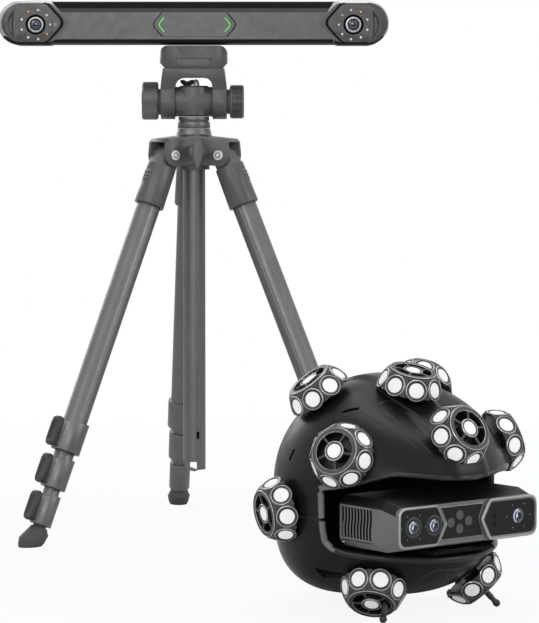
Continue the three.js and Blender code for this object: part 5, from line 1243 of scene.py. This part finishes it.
def coverForms(sketch, side):
    flip, slide, eyeAt, eyeTurn = sided(side)
    front, back = -bar["depth"] / 2 - cover["proud"], bar["depth"] / 2
    own = (bar["endShoulder"], bar["endTip"], 4.5, 10)
    steps = ((cover["rim"], front, 0.8), (cover["rim"] - 0.9, front + 0.5, 0.8), (0.6, front + 2.6, 0.2),
             (0, front + 5, 0), (0, back - bar["backDepth"], 0), (bar["backInset"], back, 0))
    rings = [[(x + slide * share, y, z) for x, z in endOutline(inset, *own)] for inset, y, share in steps]
    well = turned([(0, -3), (cover["ringOuter"], -3), (cover["ringOuter"], 1), (0, 1)], 56)
    points, faces = carved(lofted(rings), [grooveForm(), placed(well, eyeTurn)])
    marks = []
    for face in faces:
        middle = middleOf(points, face)
        pastTurn = max(middle.x - slide - (bar["length"] - bar["height"]) / 2, 0)
        fromEdge = bar["height"] / 2 - hypot(pastTurn, middle.z)
        fromEye = hypot(middle.x - eyeAt, middle.z - bar["level"])
        inGroove = middle.y < front + 3 and middle.x > eyeAt + 15 and fromEdge > cover["rim"] - 0.4
        # the well round the lens takes painted shade
        if fromEye < cover["ringOuter"] + 0.3 and front + 0.05 < middle.y < front + 3.5:
            marks.append("shellInside")
        elif middle.y < front + 0.02 or inGroove:
            marks.append("coverFace")
        else:
            # the rim's upper part takes a painted highlight, its bottom stays dark
            marks.append("coverRim" if middle.y < front + 5 and middle.z > -18 else "barFlank")
    sketch.add(flip((points, faces, marks)), "coverFace", barFrame)
    chevron = endOutline(cover["rim"], cover["lineShoulder"], cover["lineTip"], 5, 11)[29:]
    line, last = [(x + slide, z) for x, z in chevron], len(chevron) - 1
    widths = [cover["lineWidth"] * min(1, 0.35 + 1.5 * min(k, last - k) / len(line))
              for k in range(len(line))]
    # the dark line at the chevron is painted shade for the step between the cover's collar and the flat face
    sketch.add(flip(ribbon(line, widths, front - 0.25, 0.6)), "seamBlackAndGrooveShade", barFrame)
    # a faint dark ring: painted shade for the groove round the lights
    halo = circle(cover["circle"], eyeAt, bar["level"])
    sketch.add(flip(ribbon(halo, 0.8, front - 0.08, 0.3, True)), "coverGrooveShade", barFrame)
    for k in range(cover["lights"]):
        angle = 2 * pi * k / cover["lights"] + pi
        out, size = cover["lightCircle"], cover["lightSize"]
        at = eyeTurn @ Matrix.Translation((out * cos(angle), out * sin(angle), 0))
        dot = turned([(0, -0.5), (size + 0.9, -0.5), (size + 0.9, 0.12, "lensBlack"), (size, 0.12),
                      (size * 0.8, 0.6), (size * 0.4, 0.85), (0, 0.95)], 16)
        light = "lightWarm" if k in cover["warm"][side] else "lightPoint"
        sketch.add(flip(placed(dot, at)), light, barFrame)
    if side == "left":
        spotAt = frontward(bar["length"] / 2 - cover["spot"] + slide, front, bar["level"])
        spot = turned([(0, -0.5), (2.7, -0.5), (2.7, 0.05), (2.3, 0.15), (0, 0.15)], 20)
        sketch.add(flip(placed(spot, spotAt)), "coverSpot", barFrame)


def lensForms(sketch, side):
    flip, slide, eyeAt, eyeTurn = sided(side)
    outer, inner = cover["ringInner"], cover["glass"]
    lens = turned([
        (0, -6), (outer, -6, "lensBlack"), (outer, -1.6, "coverRim"), (outer - 0.5, -0.9, "coverRim"),
        (inner + 0.9, -0.7, "coverRim"), (inner + 0.2, -1.2, "lensBlack"), (inner, -3.4, "coatedGlass"),
        (inner * 0.86, -2.7, "coatedGlass"), (inner * 0.6, -2.0, "coatedGlass"), (inner * 0.3, -1.6, "lensPupil"),
        (0, -1.45, "lensPupil"),
    ], 56)
    sketch.add(flip(placed(lens, eyeTurn)), "coatedGlass", barFrame)


def makeBar():
    front, half = -bar["depth"] / 2, bar["height"] / 2 - bar["low"]
    back, top, bottom = -front - bar["low"] / 2, bar["faceTop"], bar["faceBottom"]
    ring = [
        # upper chamfer in painted light, upper flank and top in painted shade, back and bottom in the housing's
        # own black
        (front, bottom, "barFace"), (front, top, "barEdge"),
        (front + bar["chamferDepth"], top + bar["chamferRise"], "barTop"),
        (front + bar["flankDepth"] - 4, half - 1.4, "barTop"), (front + bar["flankDepth"], half, "barTop"),
        (back - bar["backDepth"], half, "barTop"), (back, half - bar["backInset"], "barFlank"),
        (back, bar["backInset"] - half, "barFlank"), (back - bar["backDepth"], -half, "barFlank"),
        (front + bar["flankDepth"] - 4, -half, "barFlank"), (front + 4, 2 - half, "barFlank"),
        (front + 1.2, bottom - 2.2, "barFlank"),
    ]
    reach = bar["length"] / 2 - bar["end"]
    sketch = Sketch()
    points = [Vector((x, y, z)) for x in (-reach, reach) for y, z, finish in ring]
    count = len(ring)
    faces = [[i, (i + 1) % count, count + (i + 1) % count, count + i] for i in range(count)]
    faces += [list(range(count))[::-1], [count + i for i in range(count)]]
    own = [finish for y, z, finish in ring] + ["barFlank", "barFlank"]
    sketch.add((points, faces, own), "barFlank", barFrame)
    sketch.build("bar_housing_form", "head", ("bar_housing",), 25)
    for side in ("left", "right"):
        sketch = Sketch()
        coverForms(sketch, side)
        sketch.build(side + "_end_cover_form", "head", (side + "_end_cover",), 30)
        sketch = Sketch()
        lensForms(sketch, side)
        sketch.build(side + "_lens_form", "head", (side + "_lens",), 30)


centreCover = {"straight": 43.5, "tip": 57.5, "high": 16.4, "proud": 0.7, "depth": 3.5, "gapWidth": 1.5,
               "lightTip": 49.5, "lightEnd": 41.5, "lightHalf": 9.7, "lightWidth": 1.5}


def makeCentreCover():
    sketch = Sketch()
    front = -bar["depth"] / 2
    c = centreCover
    long, tip, high = c["straight"], c["tip"], c["high"]
    corners = [(long, high), (-long, high), (-tip, 0), (-long, -high), (long, -high), (tip, 0)]
    outline = rounded(corners, [3, 3, 7, 3, 3, 7])
    sketch.add(fronted(outline, c["depth"], 0.3, front - c["proud"]), "barFace", featureFrame)
    for side in (-1, 1):   # a dark gap round each end, and the green mark inside it
        edge = rounded([(side * long, high), (side * tip, 0), (side * long, -high)], [0, 7, 0], False)
        gap = [(x + side * 0.6, z) for x, z in edge]
        sketch.add(ribbon(gap, c["gapWidth"], front - 0.3, 0.6), "seamBlackAndGrooveShade", featureFrame)
        light = rounded([(side * c["lightEnd"], c["lightHalf"]), (side * c["lightTip"], 0),
                         (side * c["lightEnd"], -c["lightHalf"])], [0, 4, 0], False)
        sketch.add(ribbon(light, c["lightWidth"], front - c["proud"] - 0.12, 0.5), "greenLight", featureFrame)
    sketch.build("centre_cover_form", "head", ("centre_cover",), 30)


makeBar()
makeCentreCover()
print("bar made")
